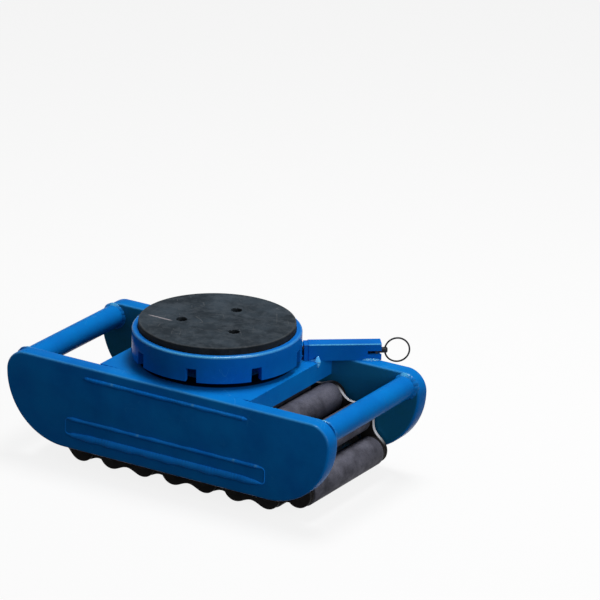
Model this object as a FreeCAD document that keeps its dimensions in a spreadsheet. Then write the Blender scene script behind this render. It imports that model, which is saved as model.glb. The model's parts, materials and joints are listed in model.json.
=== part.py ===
import FreeCAD, Part
import Sketcher
import math
import os
import re
from FreeCAD import Placement, Rotation, Vector

# Machine skate: an endless chain of rollers round a track beam, carried by two cheek plates, with a
# lockable rubber topped swivel. Millimetres. X runs along the skate, Y across it and Z up, with the
# origin on the floor under the swivel axis.

# Driving dimensions
SIZES = {
    # Cheeks, top plate and tie bars
    "inner_width": 155.5,
    "cheek_thickness": 18,
    "ground_clearance": 21,
    "end_cover": 29,
    "top_corner": 22,
    "edge_chamfer": 1.2,
    "plate_length": 178,
    "plate_thickness": 20,
    "bar_diameter": 24,
    "bar_inset": 15.75,
    "bar_drop": 15,
    # Roller chain and the beam that it runs round
    "link_pairs": 8,
    "chain_pitch": 37,
    "chain_phase": -1.8,
    "chain_headroom": 3.2,
    "roller_diameter": 31,
    "pin_diameter": 12,
    "pin_sides": 12,
    "link_height": 29,
    "link_waist": 18,
    "link_thickness": 4,
    "crank_play": 0.4,
    "link_play": 0.4,
    "side_play": 0.5,
    "rivet_stand": 1.4,
    "cheek_play": 1.2,
    "track_thickness": 27.4,
    "track_play": 0.2,
    "track_end_radius": 64,
    "track_nose_radius": 2.4,
    "tongue_height": 19,
    "tongue_rise": 1.5,
    "tongue_setback": 0.8,
    "tongue_foot": 108,
    "tongue_play": 0.1,
    # Weld beads on the cheeks' outer faces
    "bead_width": 4,
    "bead_height": 1.2,
    "plate_bead_length": 190,
    "plate_bead_drop": 12,
    # Turntable
    "cup_diameter": 172,
    "cup_gap": 6.5,
    "skirt_height": 14.5,
    "rim_width": 6,
    "rim_chamfer": 1.2,
    "disc_thickness": 8,
    "hub_diameter": 56,
    "notch_count": 8,
    "notch_width": 11,
    "notch_angle": 15,
    "pad_recess": 6,
    "pad_proud": 7.3,
    "pad_play": 0.2,
    "pad_chamfer": 1.2,
    "pad_screw_count": 3,
    "pad_screw_circle": 72,
    "pad_screw_angle": 90,
    "pad_screw_diameter": 5,
    "pad_head_diameter": 9.5,
    "pad_head_height": 3,
    "pad_head_play": 0.3,
    "pad_screw_seat": 5,
    "pad_screw_reach": 7,
    # Swivel bearing
    "running_fit": 0.03,
    "base_diameter": 112,
    "hub_play": 1,
    "washer_thickness": 5,
    "post_diameter": 30,
    "post_head_diameter": 44,
    "post_head_height": 6,
    "bush_wall": 3,
    "bush_length": 20,
    "retainer_diameter": 48,
    "retainer_thickness": 3,
    "retainer_play": 1,
    "retainer_room": 0.5,
    "retainer_screw_diameter": 10,
    "retainer_screw_length": 20,
    "retainer_head_diameter": 18,
    "retainer_head_height": 2.5,
    "retainer_hole_play": 5,
    # Swivel lock
    "lock_angle": 37.5,
    "housing_width": 16,
    "housing_height": 17.5,
    "housing_overhang": 5.6,
    "housing_chamfer": 1,
    "nose_inset": 0.8,
    "nose_length": 4.5,
    "nose_gap": 2,
    "lock_axis_height": 8,
    "guide_length": 18,
    "chamber_diameter": 12.5,
    "slot_length": 14,
    "slot_height": 3.6,
    "plug_length": 4,
    "plunger_diameter": 10,
    "plunger_tip_chamfer": 1,
    "tip_gap": 0.5,
    "engage_travel": 3,
    "seat_play": 0.3,
    "collar_length": 3,
    "collar_play": 0.1,
    "stop_gap": 0.3,
    "spring_play": 0.3,
    "spring_wall": 1.4,
    "tail_diameter": 6,
    "tail_margin": 1.2,
    "cross_pin_diameter": 3,
    "cross_pin_inset": 0.5,
    "cross_pin_setback": 5,
    "ring_hole_diameter": 3,
    "ring_stand": 1.2,
    "ring_diameter": 27,
    "wire_diameter": 1.8,
}

doc = FreeCAD.newDocument("machine_skate")
sheet = doc.addObject("Spreadsheet::Sheet", "sizes")


def store(name, value):
    """Add a named value to the sheet."""
    row = store.row
    sheet.set(f"A{row}", name)
    sheet.set(f"B{row}", str(value))
    sheet.setAlias(f"B{row}", name)
    store.row += 1


store.row = 1
for size_name, size_value in SIZES.items():
    store(size_name, size_value)
doc.recompute()


def bound(formula):
    """A formula in the sheet's own words, as an expression of the document."""
    return re.sub(r"[a-z]+(_[a-z]+)+", r"sizes.\g<0>", formula)


def number(formula):
    """A formula's value in millimetres or degrees."""
    return float(sheet.evalExpression(bound(formula)))


# Formulas that several pieces share
ROLLER_RADIUS = "(roller_diameter / 2)"
NOSE_RADIUS = "(track_nose_radius + track_play + roller_diameter / 2)"
END_RADIUS = "(track_end_radius + track_play + roller_diameter / 2)"
TRACK_LOW = "(roller_diameter + track_play)"
TRACK_TOP = "(roller_diameter + track_play + track_thickness)"
CHEEK_TOP = "(2 * (roller_diameter + track_play) + track_thickness + chain_headroom + plate_thickness)"
SIDE_STACK = "(side_play + 2 * link_thickness + link_play + rivet_stand + cheek_play)"
ROLLER_LENGTH = f"(inner_width - 2 * {SIDE_STACK})"
INNER_LINK_FACE = f"({ROLLER_LENGTH} / 2 + side_play)"
OUTER_LINK_FACE = f"({INNER_LINK_FACE} + link_thickness + link_play)"
CUP_RADIUS = "(cup_diameter / 2)"
RECESS_RADIUS = "(cup_diameter / 2 - rim_width)"
DISC_UNDER = "(cup_gap + skirt_height)"
DISC_TOP = f"({DISC_UNDER} + disc_thickness)"
CUP_TOP = f"({DISC_TOP} + pad_recess)"
POCKET_FLOOR = f"({DISC_TOP} - retainer_thickness - retainer_head_height - retainer_room)"
BUSH_RADIUS = "(post_diameter / 2 + running_fit + bush_wall)"
POST_TOP = f"({POCKET_FLOOR} + running_fit)"
BASE_HEIGHT = f"({DISC_UNDER} - washer_thickness - running_fit)"
NOSE_START = f"({CUP_RADIUS} + nose_gap)"
HOUSING_START = f"({NOSE_START} + nose_length)"
HOUSING_END = "((inner_width / 2 + cheek_thickness + housing_overhang) / sin(lock_angle * 1 deg))"
GUIDE_END = f"({NOSE_START} + nose_length + guide_length)"
SLOT_START = f"({HOUSING_END} - slot_length)"
COLLAR_START = f"({GUIDE_END} + engage_travel + stop_gap)"
COLLAR_END = f"({COLLAR_START} + collar_length)"
PLUG_START = f"({SLOT_START} - plug_length)"
RING_HOLE = f"({HOUSING_END} + ring_stand + engage_travel)"
TAIL_END = f"({RING_HOLE} + ring_hole_diameter / 2 + tail_margin)"
LOCK_HEIGHT = "lock_axis_height"


# Chain layout. The chain runs along the floor, round a small nose, back over a large curve and along the
# top of its beam. A line is the top run's half length, the radii of curve and nose, and the rise to the top.
def line_parts(line):
    """Where the lower run ends, the angle at which nose and curve meet, and the lengths of half the line."""
    top, curve, nose, rise = line
    depth = nose + curve - rise
    low = top + math.sqrt((curve - nose) ** 2 - depth**2)
    meet = math.atan2(depth, low - top)
    return low, meet, (low, nose * (meet + math.pi / 2), curve * (math.pi / 2 - meet), top)


def on_track(distance, line):
    """The point of the chain's line at a distance along it, from the middle of the lower run."""
    top, curve, nose, rise = line
    low, meet, parts = line_parts(line)
    whole = 2 * sum(parts)
    s = distance % whole
    side = 1 if s < whole / 2 else -1
    s = min(s, whole - s)
    if s < parts[0]:
        return side * s, 0
    s -= parts[0]
    if s < parts[1]:
        angle = s / nose - math.pi / 2
        return side * (low + nose * math.cos(angle)), nose + nose * math.sin(angle)
    s -= parts[1]
    if s < parts[2]:
        angle = s / curve + meet
        return side * (top + curve * math.cos(angle)), rise - curve + curve * math.sin(angle)
    return side * (top + parts[2] - s), rise


def next_stop(distance, line, pitch):
    """The distance along the line of the point one pitch further on, measured straight across."""
    here = on_track(distance, line)
    low, high = distance, distance + 1.5 * pitch
    for _ in range(50):
        middle = (low + high) / 2
        if math.dist(here, on_track(middle, line)) < pitch:
            low = middle
        else:
            high = middle
    return high


def chain_stops(line, pitch, count, start):
    """The distances along the line of all the rollers, and of the one after the last."""
    stops = [start]
    for _ in range(count):
        stops.append(next_stop(stops[-1], line, pitch))
    return stops


def closing_line(shape, pitch, count, start):
    """The line on which the chain closes with no slack, from its curve, nose and rise."""
    low, high = 0, pitch * count / 2
    for _ in range(60):
        middle = (low + high) / 2
        line = (middle, *shape)
        whole = 2 * sum(line_parts(line)[2])
        if chain_stops(line, pitch, count, start)[-1] - start > whole:
            low = middle
        else:
            high = middle
    return high, *shape


roller_count = 2 * int(number("link_pairs")) + 1
chain_pitch = number("chain_pitch")
chain_start = number("chain_phase")
chain_shape = number(END_RADIUS), number(NOSE_RADIUS), number("roller_diameter + 2 * track_play + track_thickness")
chain_line = closing_line(chain_shape, chain_pitch, roller_count, chain_start)
store("track_half_length", chain_line[0])
doc.recompute()
roller_places = [on_track(stop, chain_line) for stop in chain_stops(chain_line, chain_pitch, roller_count, chain_start)]
# Rollers are numbered from the middle of the upper run, where a cranked link closes the odd chain
first = roller_count // 2 + 1
roller_axes = [
    Vector(x, 0, z + number(ROLLER_RADIUS)) for x, z in roller_places[first:-1] + roller_places[:first]
]
CURVE_STEP = "(track_end_radius - track_nose_radius)"
CURVE_DEPTH = "(track_end_radius + track_nose_radius - track_thickness)"
CURVE_REACH = f"sqrt({CURVE_STEP}^2 - {CURVE_DEPTH}^2)"
LOW_HALF = f"(track_half_length + {CURVE_REACH})"
CURVE_HEIGHT = f"({TRACK_TOP} - track_end_radius)"
TONGUE_MIDDLE = "(roller_diameter + track_play + track_thickness / 2 + tongue_rise)"
HALF_LENGTH = f"({LOW_HALF} + {NOSE_RADIUS} + {ROLLER_RADIUS} + end_cover)"


# Sketch and feature helpers
def origin_feature(body, role):
    """A plane or axis of the body's own origin."""
    return next(f for f in body.Origin.OriginFeatures if f.Role == role)


def new_body(label, height=None, angle=None, across=None):
    """An empty body, raised to a height, turned about the swivel axis and moved across the skate."""
    body = doc.addObject("PartDesign::Body", label)
    body.Label = label
    if angle:
        body.Placement = Placement(Vector(), Rotation(Vector(0, 0, 1), number(angle)))
    if height:
        body.setExpression("Placement.Base.z", bound(height))
    if across:
        body.setExpression("Placement.Base.y", bound(across))
    return body


def hold_point(sketch, geometry, point, place, kinds=("DistanceX", "DistanceY")):
    """Bind a point's coordinates to formulas."""
    for kind, formula in zip(kinds, place):
        constraint = Sketcher.Constraint(kind, -1, 1, geometry, point, number(formula))
        index = sketch.addConstraint(constraint)
        sketch.setExpression(f"Constraints[{index}]", bound(formula))


def draw_circle(sketch, x, y, radius):
    """A circle with its centre and radius bound to formulas."""
    centre = Vector(number(x), number(y), 0)
    geometry = sketch.addGeometry(Part.Circle(centre, Vector(0, 0, 1), number(radius)))
    hold_point(sketch, geometry, 3, (x, y))
    index = sketch.addConstraint(Sketcher.Constraint("Radius", geometry, number(radius)))
    sketch.setExpression(f"Constraints[{index}]", bound(radius))


def draw_outline(sketch, corners):
    """A closed outline, counter-clockwise. A corner of two formulas starts a line, and one of four
    starts an arc about the point that the last two give."""
    places = [Vector(number(c[0]), number(c[1]), 0) for c in corners]
    edges = []
    for i, corner in enumerate(corners):
        start, end = places[i], places[(i + 1) % len(corners)]
        if len(corner) == 2:
            edges.append(sketch.addGeometry(Part.LineSegment(start, end)))
            continue
        centre = Vector(number(corner[2]), number(corner[3]), 0)
        circle = Part.Circle(centre, Vector(0, 0, 1), (start - centre).Length)
        first, last = (math.atan2(p.y - centre.y, p.x - centre.x) for p in (start, end))
        edges.append(sketch.addGeometry(Part.ArcOfCircle(circle, first, last)))
    for i, corner in enumerate(corners):
        after = (i + 1) % len(corners)
        sketch.addConstraint(Sketcher.Constraint("Coincident", edges[i], 2, edges[after], 1))
        hold_point(sketch, edges[i], 1, corner[:2])
        if len(corner) == 4:
            chord = places[after] - places[i]
            if abs(chord.y) >= abs(chord.x):
                hold_point(sketch, edges[i], 3, corner[2:3], ("DistanceX",))
            else:
                hold_point(sketch, edges[i], 3, corner[3:], ("DistanceY",))


def new_sketch(body, name, plane, outlines=(), circles=(), offset=None):
    """A sketch on one of the body's own planes, moved along the plane's normal."""
    sketch = body.newObject("Sketcher::SketchObject", name)
    sketch.AttachmentSupport = [(origin_feature(body, plane), "")]
    sketch.MapMode = "FlatFace"
    if offset:
        sketch.setExpression("AttachmentOffset.Base.z", bound(offset))
    for corners in outlines:
        draw_outline(sketch, corners)
    for circle in circles:
        draw_circle(sketch, *circle)
    doc.recompute()
    return sketch


def pad(body, sketch, length, both_ways=False):
    """Material along the sketch's normal, or evenly to both sides of it."""
    feature = body.newObject("PartDesign::Pad", f"{sketch.Label}_pad")
    feature.Profile = sketch
    feature.setExpression("Length", bound(length))
    feature.SideType = "Symmetric" if both_ways else "One side"
    doc.recompute()
    return feature


def pocket(body, sketch, length=None, reverse=False):
    """A cut against the sketch's normal, or right through both ways, that has to take material away."""
    before = body.Shape.Volume
    feature = body.newObject("PartDesign::Pocket", f"{sketch.Label}_pocket")
    feature.Profile = sketch
    feature.Reversed = reverse
    if length:
        feature.setExpression("Length", bound(length))
    else:
        feature.Type = "ThroughAll"
        feature.SideType = "Symmetric"
    doc.recompute()
    if body.Shape.Volume >= before:
        raise ValueError(f"{feature.Label} cuts nothing")
    return feature


def revolve(body, sketch, axis):
    """A full turn of the sketch about one of its own axes."""
    feature = body.newObject("PartDesign::Revolution", f"{sketch.Label}_revolution")
    feature.Profile = sketch
    feature.ReferenceAxis = (sketch, [axis])
    feature.Angle = 360
    doc.recompute()
    return feature


def around(body, feature, count):
    """Repeat a feature evenly about the body's own vertical axis."""
    pattern = body.newObject("PartDesign::PolarPattern", f"{feature.Label}_pattern")
    pattern.Originals = [feature]
    pattern.Axis = (origin_feature(body, "Z_Axis"), [""])
    pattern.Angle = 360
    pattern.setExpression("Occurrences", bound(count))
    body.Tip = pattern
    doc.recompute()
    return pattern


def turn_sketch(sketch, angle, radius):
    """Stand a sketch of the YZ plane square to a radius at an angle about the vertical axis."""
    turn = math.radians(number(angle))
    reach = number(radius)
    place = Vector(reach * math.sin(turn), 0, reach * math.cos(turn))
    sketch.AttachmentOffset = Placement(place, Rotation(Vector(0, 1, 0), number(angle)))
    doc.recompute()


def box_corners(left, right, low, high):
    """The corners of a rectangle."""
    return [(left, low), (right, low), (right, high), (left, high)]


def stadium(half_length, height, radius):
    """A long rectangle with full round ends, centred on the vertical axis at a height."""
    low, high = f"{height} - {radius}", f"{height} + {radius}"
    return [
        (f"-{half_length}", low),
        (half_length, low, half_length, height),
        (half_length, high),
        (f"-{half_length}", high, f"-{half_length}", height),
    ]


def tube(label, radius, bore, length):
    """A round tube along Z from the origin, as one cylinder cut from another."""
    outer = doc.addObject("Part::Cylinder", f"{label}_outside")
    inner = doc.addObject("Part::Cylinder", f"{label}_bore")
    for cylinder, size in ((outer, radius), (inner, bore)):
        cylinder.setExpression("Radius", bound(size))
        cylinder.setExpression("Height", bound(length))
    cut = doc.addObject("Part::Cut", label)
    cut.Base = outer
    cut.Tool = inner
    cut.Label = label
    return cut


def group(label, source, placements):
    """Copies of one finished piece as separate solids of one node."""
    doc.recompute()
    copies = [source.Shape.copy() for _ in placements]
    for copy, placement in zip(copies, placements):
        copy.Placement = placement.multiply(copy.Placement)
    feature = doc.addObject("Part::Feature", label)
    feature.Shape = Part.makeCompound(copies)
    feature.Label = label
    return feature


nodes = []


# Cheeks, flame cut plates with rounded ends and a slot for the beam's tongue
def make_cheek(label, across):
    """One cheek, with its inner or outer face at a place across the skate."""
    body = new_body(label, across=across)
    low_corner = f"({CHEEK_TOP} - ground_clearance - top_corner)"
    low_x, high_x = f"({HALF_LENGTH} - {low_corner})", f"({HALF_LENGTH} - top_corner)"
    waist = f"({CHEEK_TOP} - top_corner)"
    outline = [
        (f"-{low_x}", "ground_clearance"),
        (low_x, "ground_clearance", low_x, waist),
        (HALF_LENGTH, waist, high_x, waist),
        (high_x, CHEEK_TOP),
        (f"-{high_x}", CHEEK_TOP, f"-{high_x}", waist),
        (f"-{HALF_LENGTH}", waist, f"-{low_x}", waist),
    ]
    plate = pad(body, new_sketch(body, f"{label}_outline", "XZ_Plane", [outline]), "cheek_thickness")
    rims = [
        f"Edge{i + 1}"
        for i, edge in enumerate(plate.Shape.Edges)
        if edge.BoundBox.YLength < number("edge_chamfer")
    ]
    chamfer = body.newObject("PartDesign::Chamfer", f"{label}_chamfer")
    chamfer.Base = (plate, rims)
    chamfer.setExpression("Size", bound("edge_chamfer"))
    doc.recompute()
    pocket(body, new_sketch(body, f"{label}_slot", "XZ_Plane", [tongue_outline("tongue_play")]))
    return body


def tongue_outline(growth):
    """The beam's tongue, grown by a clearance: flat above and below, with ends that follow the beam's curve
    and lower corners cut back to the tongue's foot."""
    low, high = f"{TONGUE_MIDDLE} - tongue_height / 2 - {growth}", f"{TONGUE_MIDDLE} + tongue_height / 2 + {growth}"
    radius = f"(track_end_radius - tongue_setback + {growth})"
    foot = f"(tongue_foot + {growth} * tan(22.5 deg))"
    middle, top = (
        f"(track_half_length + sqrt({radius}^2 - ({height} - {CURVE_HEIGHT})^2))" for height in (TONGUE_MIDDLE, high)
    )
    return [
        (f"-{foot}", low),
        (foot, low),
        (middle, TONGUE_MIDDLE, "track_half_length", CURVE_HEIGHT),
        (top, high),
        (f"-{top}", high, "-track_half_length", CURVE_HEIGHT),
        (f"-{middle}", TONGUE_MIDDLE),
    ]


nodes.append(make_cheek("cheek_near", "-inner_width / 2"))
nodes.append(make_cheek("cheek_far", "inner_width / 2 + cheek_thickness"))

# Top plate between the cheeks, bored and counterbored from below for the pivot post
top_plate = new_body("top_plate", CHEEK_TOP)
plate_outline = box_corners("-plate_length / 2", "plate_length / 2", "-inner_width / 2", "inner_width / 2")
plate_sketch = new_sketch(top_plate, "plate_outline", "XY_Plane", [plate_outline], offset="-plate_thickness")
pad(top_plate, plate_sketch, "plate_thickness")
post_hole = [("0", "0", "post_diameter / 2")]
pocket(top_plate, new_sketch(top_plate, "post_hole", "XY_Plane", circles=post_hole))
head_hole = [("0", "0", "post_head_diameter / 2")]
head_sketch = new_sketch(top_plate, "head_hole", "XY_Plane", circles=head_hole, offset="-plate_thickness")
pocket(top_plate, head_sketch, "post_head_height", reverse=True)
nodes.append(top_plate)

# Track beam, as wide as the rollers, with curved ends, small noses and a tongue through each cheek
track_beam = new_body("track_beam")
meet_x = f"({LOW_HALF} + track_nose_radius * {CURVE_REACH} / {CURVE_STEP})"
meet_z = f"({TRACK_LOW} + track_nose_radius + track_nose_radius * {CURVE_DEPTH} / {CURVE_STEP})"
nose_z = f"({TRACK_LOW} + track_nose_radius)"
track = [
    (f"-{LOW_HALF}", TRACK_LOW),
    (LOW_HALF, TRACK_LOW, LOW_HALF, nose_z),
    (meet_x, meet_z, "track_half_length", CURVE_HEIGHT),
    ("track_half_length", TRACK_TOP),
    ("-track_half_length", TRACK_TOP, "-track_half_length", CURVE_HEIGHT),
    (f"-{meet_x}", meet_z, f"-{LOW_HALF}", nose_z),
]
pad(track_beam, new_sketch(track_beam, "track", "XZ_Plane", [track]), ROLLER_LENGTH, both_ways=True)
tongue_sketch = new_sketch(track_beam, "tongue", "XZ_Plane", [tongue_outline("0")])
pad(track_beam, tongue_sketch, "inner_width + 2 * cheek_thickness", both_ways=True)
nodes.append(track_beam)

# Tie bars between the cheeks at both ends
for side, name in ((-1, "left"), (1, "right")):
    bar = doc.addObject("Part::Cylinder", f"tie_bar_{name}")
    bar.Label = f"tie_bar_{name}"
    bar.setExpression("Radius", bound("bar_diameter / 2"))
    bar.setExpression("Height", bound("inner_width"))
    bar.Placement = Placement(Vector(), Rotation(Vector(1, 0, 0), 90))
    bar.setExpression("Placement.Base.x", bound(f"{side} * ({HALF_LENGTH} - bar_inset)"))
    bar.setExpression("Placement.Base.y", bound("inner_width / 2"))
    bar.setExpression("Placement.Base.z", bound(f"{CHEEK_TOP} - bar_drop"))
    nodes.append(bar)

# Weld beads on the outer faces, round each tongue and along the top plate
half_turn = Rotation(Vector(0, 0, 1), 180)
cheek_face = Vector(0, number("inner_width / 2 + cheek_thickness"), 0)
both_faces = [Placement(-cheek_face, Rotation()), Placement(cheek_face, half_turn)]
beam_bead = new_body("beam_bead")
bead_ring = [tongue_outline(f"{sign}(bead_width / 2)") for sign in ("", "-")]
pad(beam_bead, new_sketch(beam_bead, "bead_ring", "XZ_Plane", bead_ring), "bead_height")
nodes.append(group("beam_welds", beam_bead, both_faces))
plate_bead = new_body("plate_bead")
bead_line = stadium("(plate_bead_length / 2)", f"({CHEEK_TOP} - plate_bead_drop)", "(bead_width / 2)")
pad(plate_bead, new_sketch(plate_bead, "bead_line", "XZ_Plane", [bead_line]), "bead_height")
nodes.append(group("plate_welds", plate_bead, both_faces))

# Rollers, each turning on its own pin. Pins, and the bores round them, have flats in place of a round.
PIN_RADIUS = "(pin_diameter / 2)"
BORE_RADIUS = "((pin_diameter / 2 + running_fit) / cos(180 deg / pin_sides))"


def make_roller(label, axis):
    """One roller, bored for its pin, lying across the skate on an axis."""
    outside = doc.addObject("Part::Cylinder", f"{label}_outside")
    outside.setExpression("Radius", bound(ROLLER_RADIUS))
    bore = doc.addObject("Part::Prism", f"{label}_bore")
    bore.setExpression("Polygon", bound("pin_sides"))
    bore.setExpression("Circumradius", bound(BORE_RADIUS))
    roller = doc.addObject("Part::Cut", label)
    roller.Base = outside
    roller.Tool = bore
    roller.Label = label
    for solid in (outside, bore):
        solid.setExpression("Height", bound(ROLLER_LENGTH))
    end = axis + Vector(0, number(ROLLER_LENGTH) / 2, 0)
    roller.Placement = Placement(end, Rotation(Vector(1, 0, 0), 90))
    return roller


for i, axis in enumerate(roller_axes):
    nodes.append(make_roller(f"roller_{i + 1:02d}", axis))

# Chain links: outer plates that the pins are riveted in, and inner plates between them
def link_end(x, first):
    """The corners round one end of a link, counter-clockwise from an angle, with flats that touch its round."""
    turns = [f"({first + 45 * i} * 1 deg)" for i in range(6)]
    radius = "link_height / 2 / cos(22.5 deg)"
    return [(f"{x} + {radius} * cos{turn}", f"{radius} * sin{turn}") for turn in turns]


link_outline = [
    ("chain_pitch / 2", "-link_waist / 2"),
    *link_end("chain_pitch", -112.5),
    ("chain_pitch / 2", "link_waist / 2"),
    *link_end("0", 67.5),
]


def flats(x, radius):
    """A regular polygon about a point of the link's own axis."""
    turns = [f"({i} * 360 deg / pin_sides)" for i in range(int(number("pin_sides")))]
    return [(f"{x} + {radius} * cos{turn}", f"{radius} * sin{turn}") for turn in turns]


def make_link(label, hole_radius):
    """One link plate with its two holes, and the first hole at the origin."""
    body = new_body(label)
    outlines = [link_outline, flats("0", hole_radius), flats("chain_pitch", hole_radius)]
    pad(body, new_sketch(body, f"{label}_outline", "XZ_Plane", outlines), "link_thickness")
    return body


def link_turn(first):
    """The turn of the link between a roller and the next one."""
    here, there = roller_axes[first], roller_axes[(first + 1) % roller_count]
    return Rotation(Vector(0, 1, 0), -math.degrees(math.atan2(there.z - here.z, there.x - here.x)))


def link_places(start, across):
    """Where every second link lies, from the first roller given."""
    aside = Vector(0, across, 0)
    return [Placement(roller_axes[i] + aside, link_turn(i)) for i in range(start, roller_count - 1, 2)]


outer_link = make_link("outer_link", PIN_RADIUS)
inner_link = make_link("inner_link", BORE_RADIUS)
thickness = number("link_thickness")
inner_face = number(INNER_LINK_FACE)
outer_face = number(OUTER_LINK_FACE)
outer_places = link_places(0, -outer_face) + link_places(0, outer_face + thickness)
nodes.append(group("outer_links", outer_link, outer_places))
nodes.append(group("inner_links_near", inner_link, link_places(1, -inner_face)))
nodes.append(group("inner_links_far", inner_link, link_places(1, inner_face + thickness)))

# Cranked links, outside on the last roller and inside on the first, that close the odd chain
crank = new_body("crank")
crank_step = "(link_thickness + link_play)"
crank_near, crank_far = "(link_height / 2 + crank_play)", "(chain_pitch - link_height / 2 - crank_play)"
crank_outline = [
    ("-link_height", f"-{crank_step} - link_thickness"),
    (crank_near, f"-{crank_step} - link_thickness"),
    (crank_far, "-link_thickness"),
    ("chain_pitch + link_height", "-link_thickness"),
    ("chain_pitch + link_height", "0"),
    (crank_far, "0"),
    (crank_near, f"-{crank_step}"),
    ("-link_height", f"-{crank_step}"),
]
pad(crank, new_sketch(crank, "crank_outline", "XY_Plane", [crank_outline]), "2 * link_height", both_ways=True)
around_link = box_corners("-2 * link_height", "chain_pitch + 2 * link_height", "-2 * link_height", "2 * link_height")
pocket(crank, new_sketch(crank, "crank_trim", "XZ_Plane", [around_link, link_outline]))
for name, x, radius in (("crank_pin_hole", "0", PIN_RADIUS), ("crank_bore", "chain_pitch", BORE_RADIUS)):
    pocket(crank, new_sketch(crank, name, "XZ_Plane", [flats(x, radius)]))
crank_place = Placement(roller_axes[-1] - Vector(0, inner_face, 0), link_turn(roller_count - 1))
cranked_links = group("cranked_links", crank, [crank_place])
near_crank = cranked_links.Shape.Solids[0]
cranked_links.Shape = Part.makeCompound([near_crank, near_crank.mirror(Vector(), Vector(0, 1, 0))])
nodes.append(cranked_links)

# Chain pins, turned as the outer links that hold them
chain_pin = new_body("chain_pin")
pin_length = f"2 * ({OUTER_LINK_FACE} + link_thickness + rivet_stand)"
pin_sketch = new_sketch(chain_pin, "pin_flats", "XZ_Plane", [flats("0", PIN_RADIUS)])
pad(chain_pin, pin_sketch, pin_length, both_ways=True)
pin_places = [Placement(axis, link_turn(i - i % 2)) for i, axis in enumerate(roller_axes)]
nodes.append(group("chain_pins", chain_pin, pin_places))

# Swivel base ring and thrust washer on the top plate
swivel_base = tube("swivel_base", "base_diameter / 2", "hub_diameter / 2 + hub_play", BASE_HEIGHT)
swivel_base.setExpression("Placement.Base.z", bound(CHEEK_TOP))
nodes.append(swivel_base)
thrust_washer = tube("thrust_washer", "base_diameter / 2", "hub_diameter / 2 + hub_play", "washer_thickness")
thrust_washer.setExpression("Placement.Base.z", bound(f"{CHEEK_TOP} + {BASE_HEIGHT}"))
nodes.append(thrust_washer)

# Pivot post, headed below the top plate, with its retaining washer and screw
pivot_post = new_body("pivot_post", CHEEK_TOP)
post_profile = [
    ("0", "-plate_thickness"),
    ("post_head_diameter / 2", "-plate_thickness"),
    ("post_head_diameter / 2", "post_head_height - plate_thickness"),
    ("post_diameter / 2", "post_head_height - plate_thickness"),
    ("post_diameter / 2", POST_TOP),
    ("0", POST_TOP),
]
revolve(pivot_post, new_sketch(pivot_post, "post_profile", "XZ_Plane", [post_profile]), "V_Axis")
screw_hole = [("0", "0", "retainer_screw_diameter / 2")]
screw_hole_sketch = new_sketch(pivot_post, "screw_hole", "XY_Plane", circles=screw_hole, offset=POST_TOP)
pocket(pivot_post, screw_hole_sketch, "retainer_screw_length + retainer_hole_play")
nodes.append(pivot_post)
retainer_washer = tube(
    "retaining_washer", "retainer_diameter / 2", "retainer_screw_diameter / 2", "retainer_thickness"
)
retainer_washer.setExpression("Placement.Base.z", bound(f"{CHEEK_TOP} + {POST_TOP}"))
nodes.append(retainer_washer)
retaining_screw = new_body("retaining_screw", f"{CHEEK_TOP} + {POST_TOP} + retainer_thickness")
screw_profile = [
    ("0", "-retainer_screw_length"),
    ("retainer_screw_diameter / 2", "-retainer_screw_length"),
    ("retainer_screw_diameter / 2", "0"),
    ("retainer_head_diameter / 2", "0"),
    ("retainer_head_diameter / 2", "retainer_head_height"),
    ("0", "retainer_head_height"),
]
revolve(retaining_screw, new_sketch(retaining_screw, "screw_profile", "XZ_Plane", [screw_profile]), "V_Axis")
nodes.append(retaining_screw)

# Turntable cup: a disc with a notched skirt below, a rim above and a hub round the post
turntable_cup = new_body("turntable_cup", CHEEK_TOP)
pocket_radius = "(retainer_diameter / 2 + retainer_play)"
cup_profile = [
    (BUSH_RADIUS, f"{POCKET_FLOOR} - bush_length"),
    ("hub_diameter / 2", f"{POCKET_FLOOR} - bush_length"),
    ("hub_diameter / 2", DISC_UNDER),
    (RECESS_RADIUS, DISC_UNDER),
    (RECESS_RADIUS, "cup_gap"),
    (CUP_RADIUS, "cup_gap"),
    (CUP_RADIUS, f"{CUP_TOP} - rim_chamfer"),
    (f"{CUP_RADIUS} - rim_chamfer", CUP_TOP),
    (RECESS_RADIUS, CUP_TOP),
    (RECESS_RADIUS, DISC_TOP),
    (pocket_radius, DISC_TOP),
    (pocket_radius, POCKET_FLOOR),
    (BUSH_RADIUS, POCKET_FLOOR),
]
revolve(turntable_cup, new_sketch(turntable_cup, "cup_profile", "XZ_Plane", [cup_profile]), "V_Axis")


def cut_skirt(name, width, top, angle, count):
    """Slots through the skirt from its lower edge up, evenly round the cup."""
    slot = box_corners(f"-{width} / 2", f"{width} / 2", "0", top)
    sketch = new_sketch(turntable_cup, name, "YZ_Plane", [slot])
    turn_sketch(sketch, angle, f"{CUP_RADIUS} + rim_width")
    around(turntable_cup, pocket(turntable_cup, sketch, "3 * rim_width"), count)


cut_skirt("notch", "notch_width", DISC_UNDER, "notch_angle", "notch_count")
seat_width = "(plunger_diameter + 2 * seat_play)"
cut_skirt("lock_seat", seat_width, f"{LOCK_HEIGHT} + {seat_width} / 2", "lock_angle", "2")


def pad_screw_sketch(body, name, radius, offset):
    """The circle of one pad screw, on the pad's screw circle."""
    along, across = (
        f"pad_screw_circle / 2 * {turn}(pad_screw_angle * 1 deg)" for turn in ("cos", "sin")
    )
    return new_sketch(body, name, "XY_Plane", circles=[(along, across, radius)], offset=offset)


tap_sketch = pad_screw_sketch(turntable_cup, "screw_tap", "pad_screw_diameter / 2", DISC_TOP)
around(turntable_cup, pocket(turntable_cup, tap_sketch, "pad_screw_reach"), "pad_screw_count")
nodes.append(turntable_cup)

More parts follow.
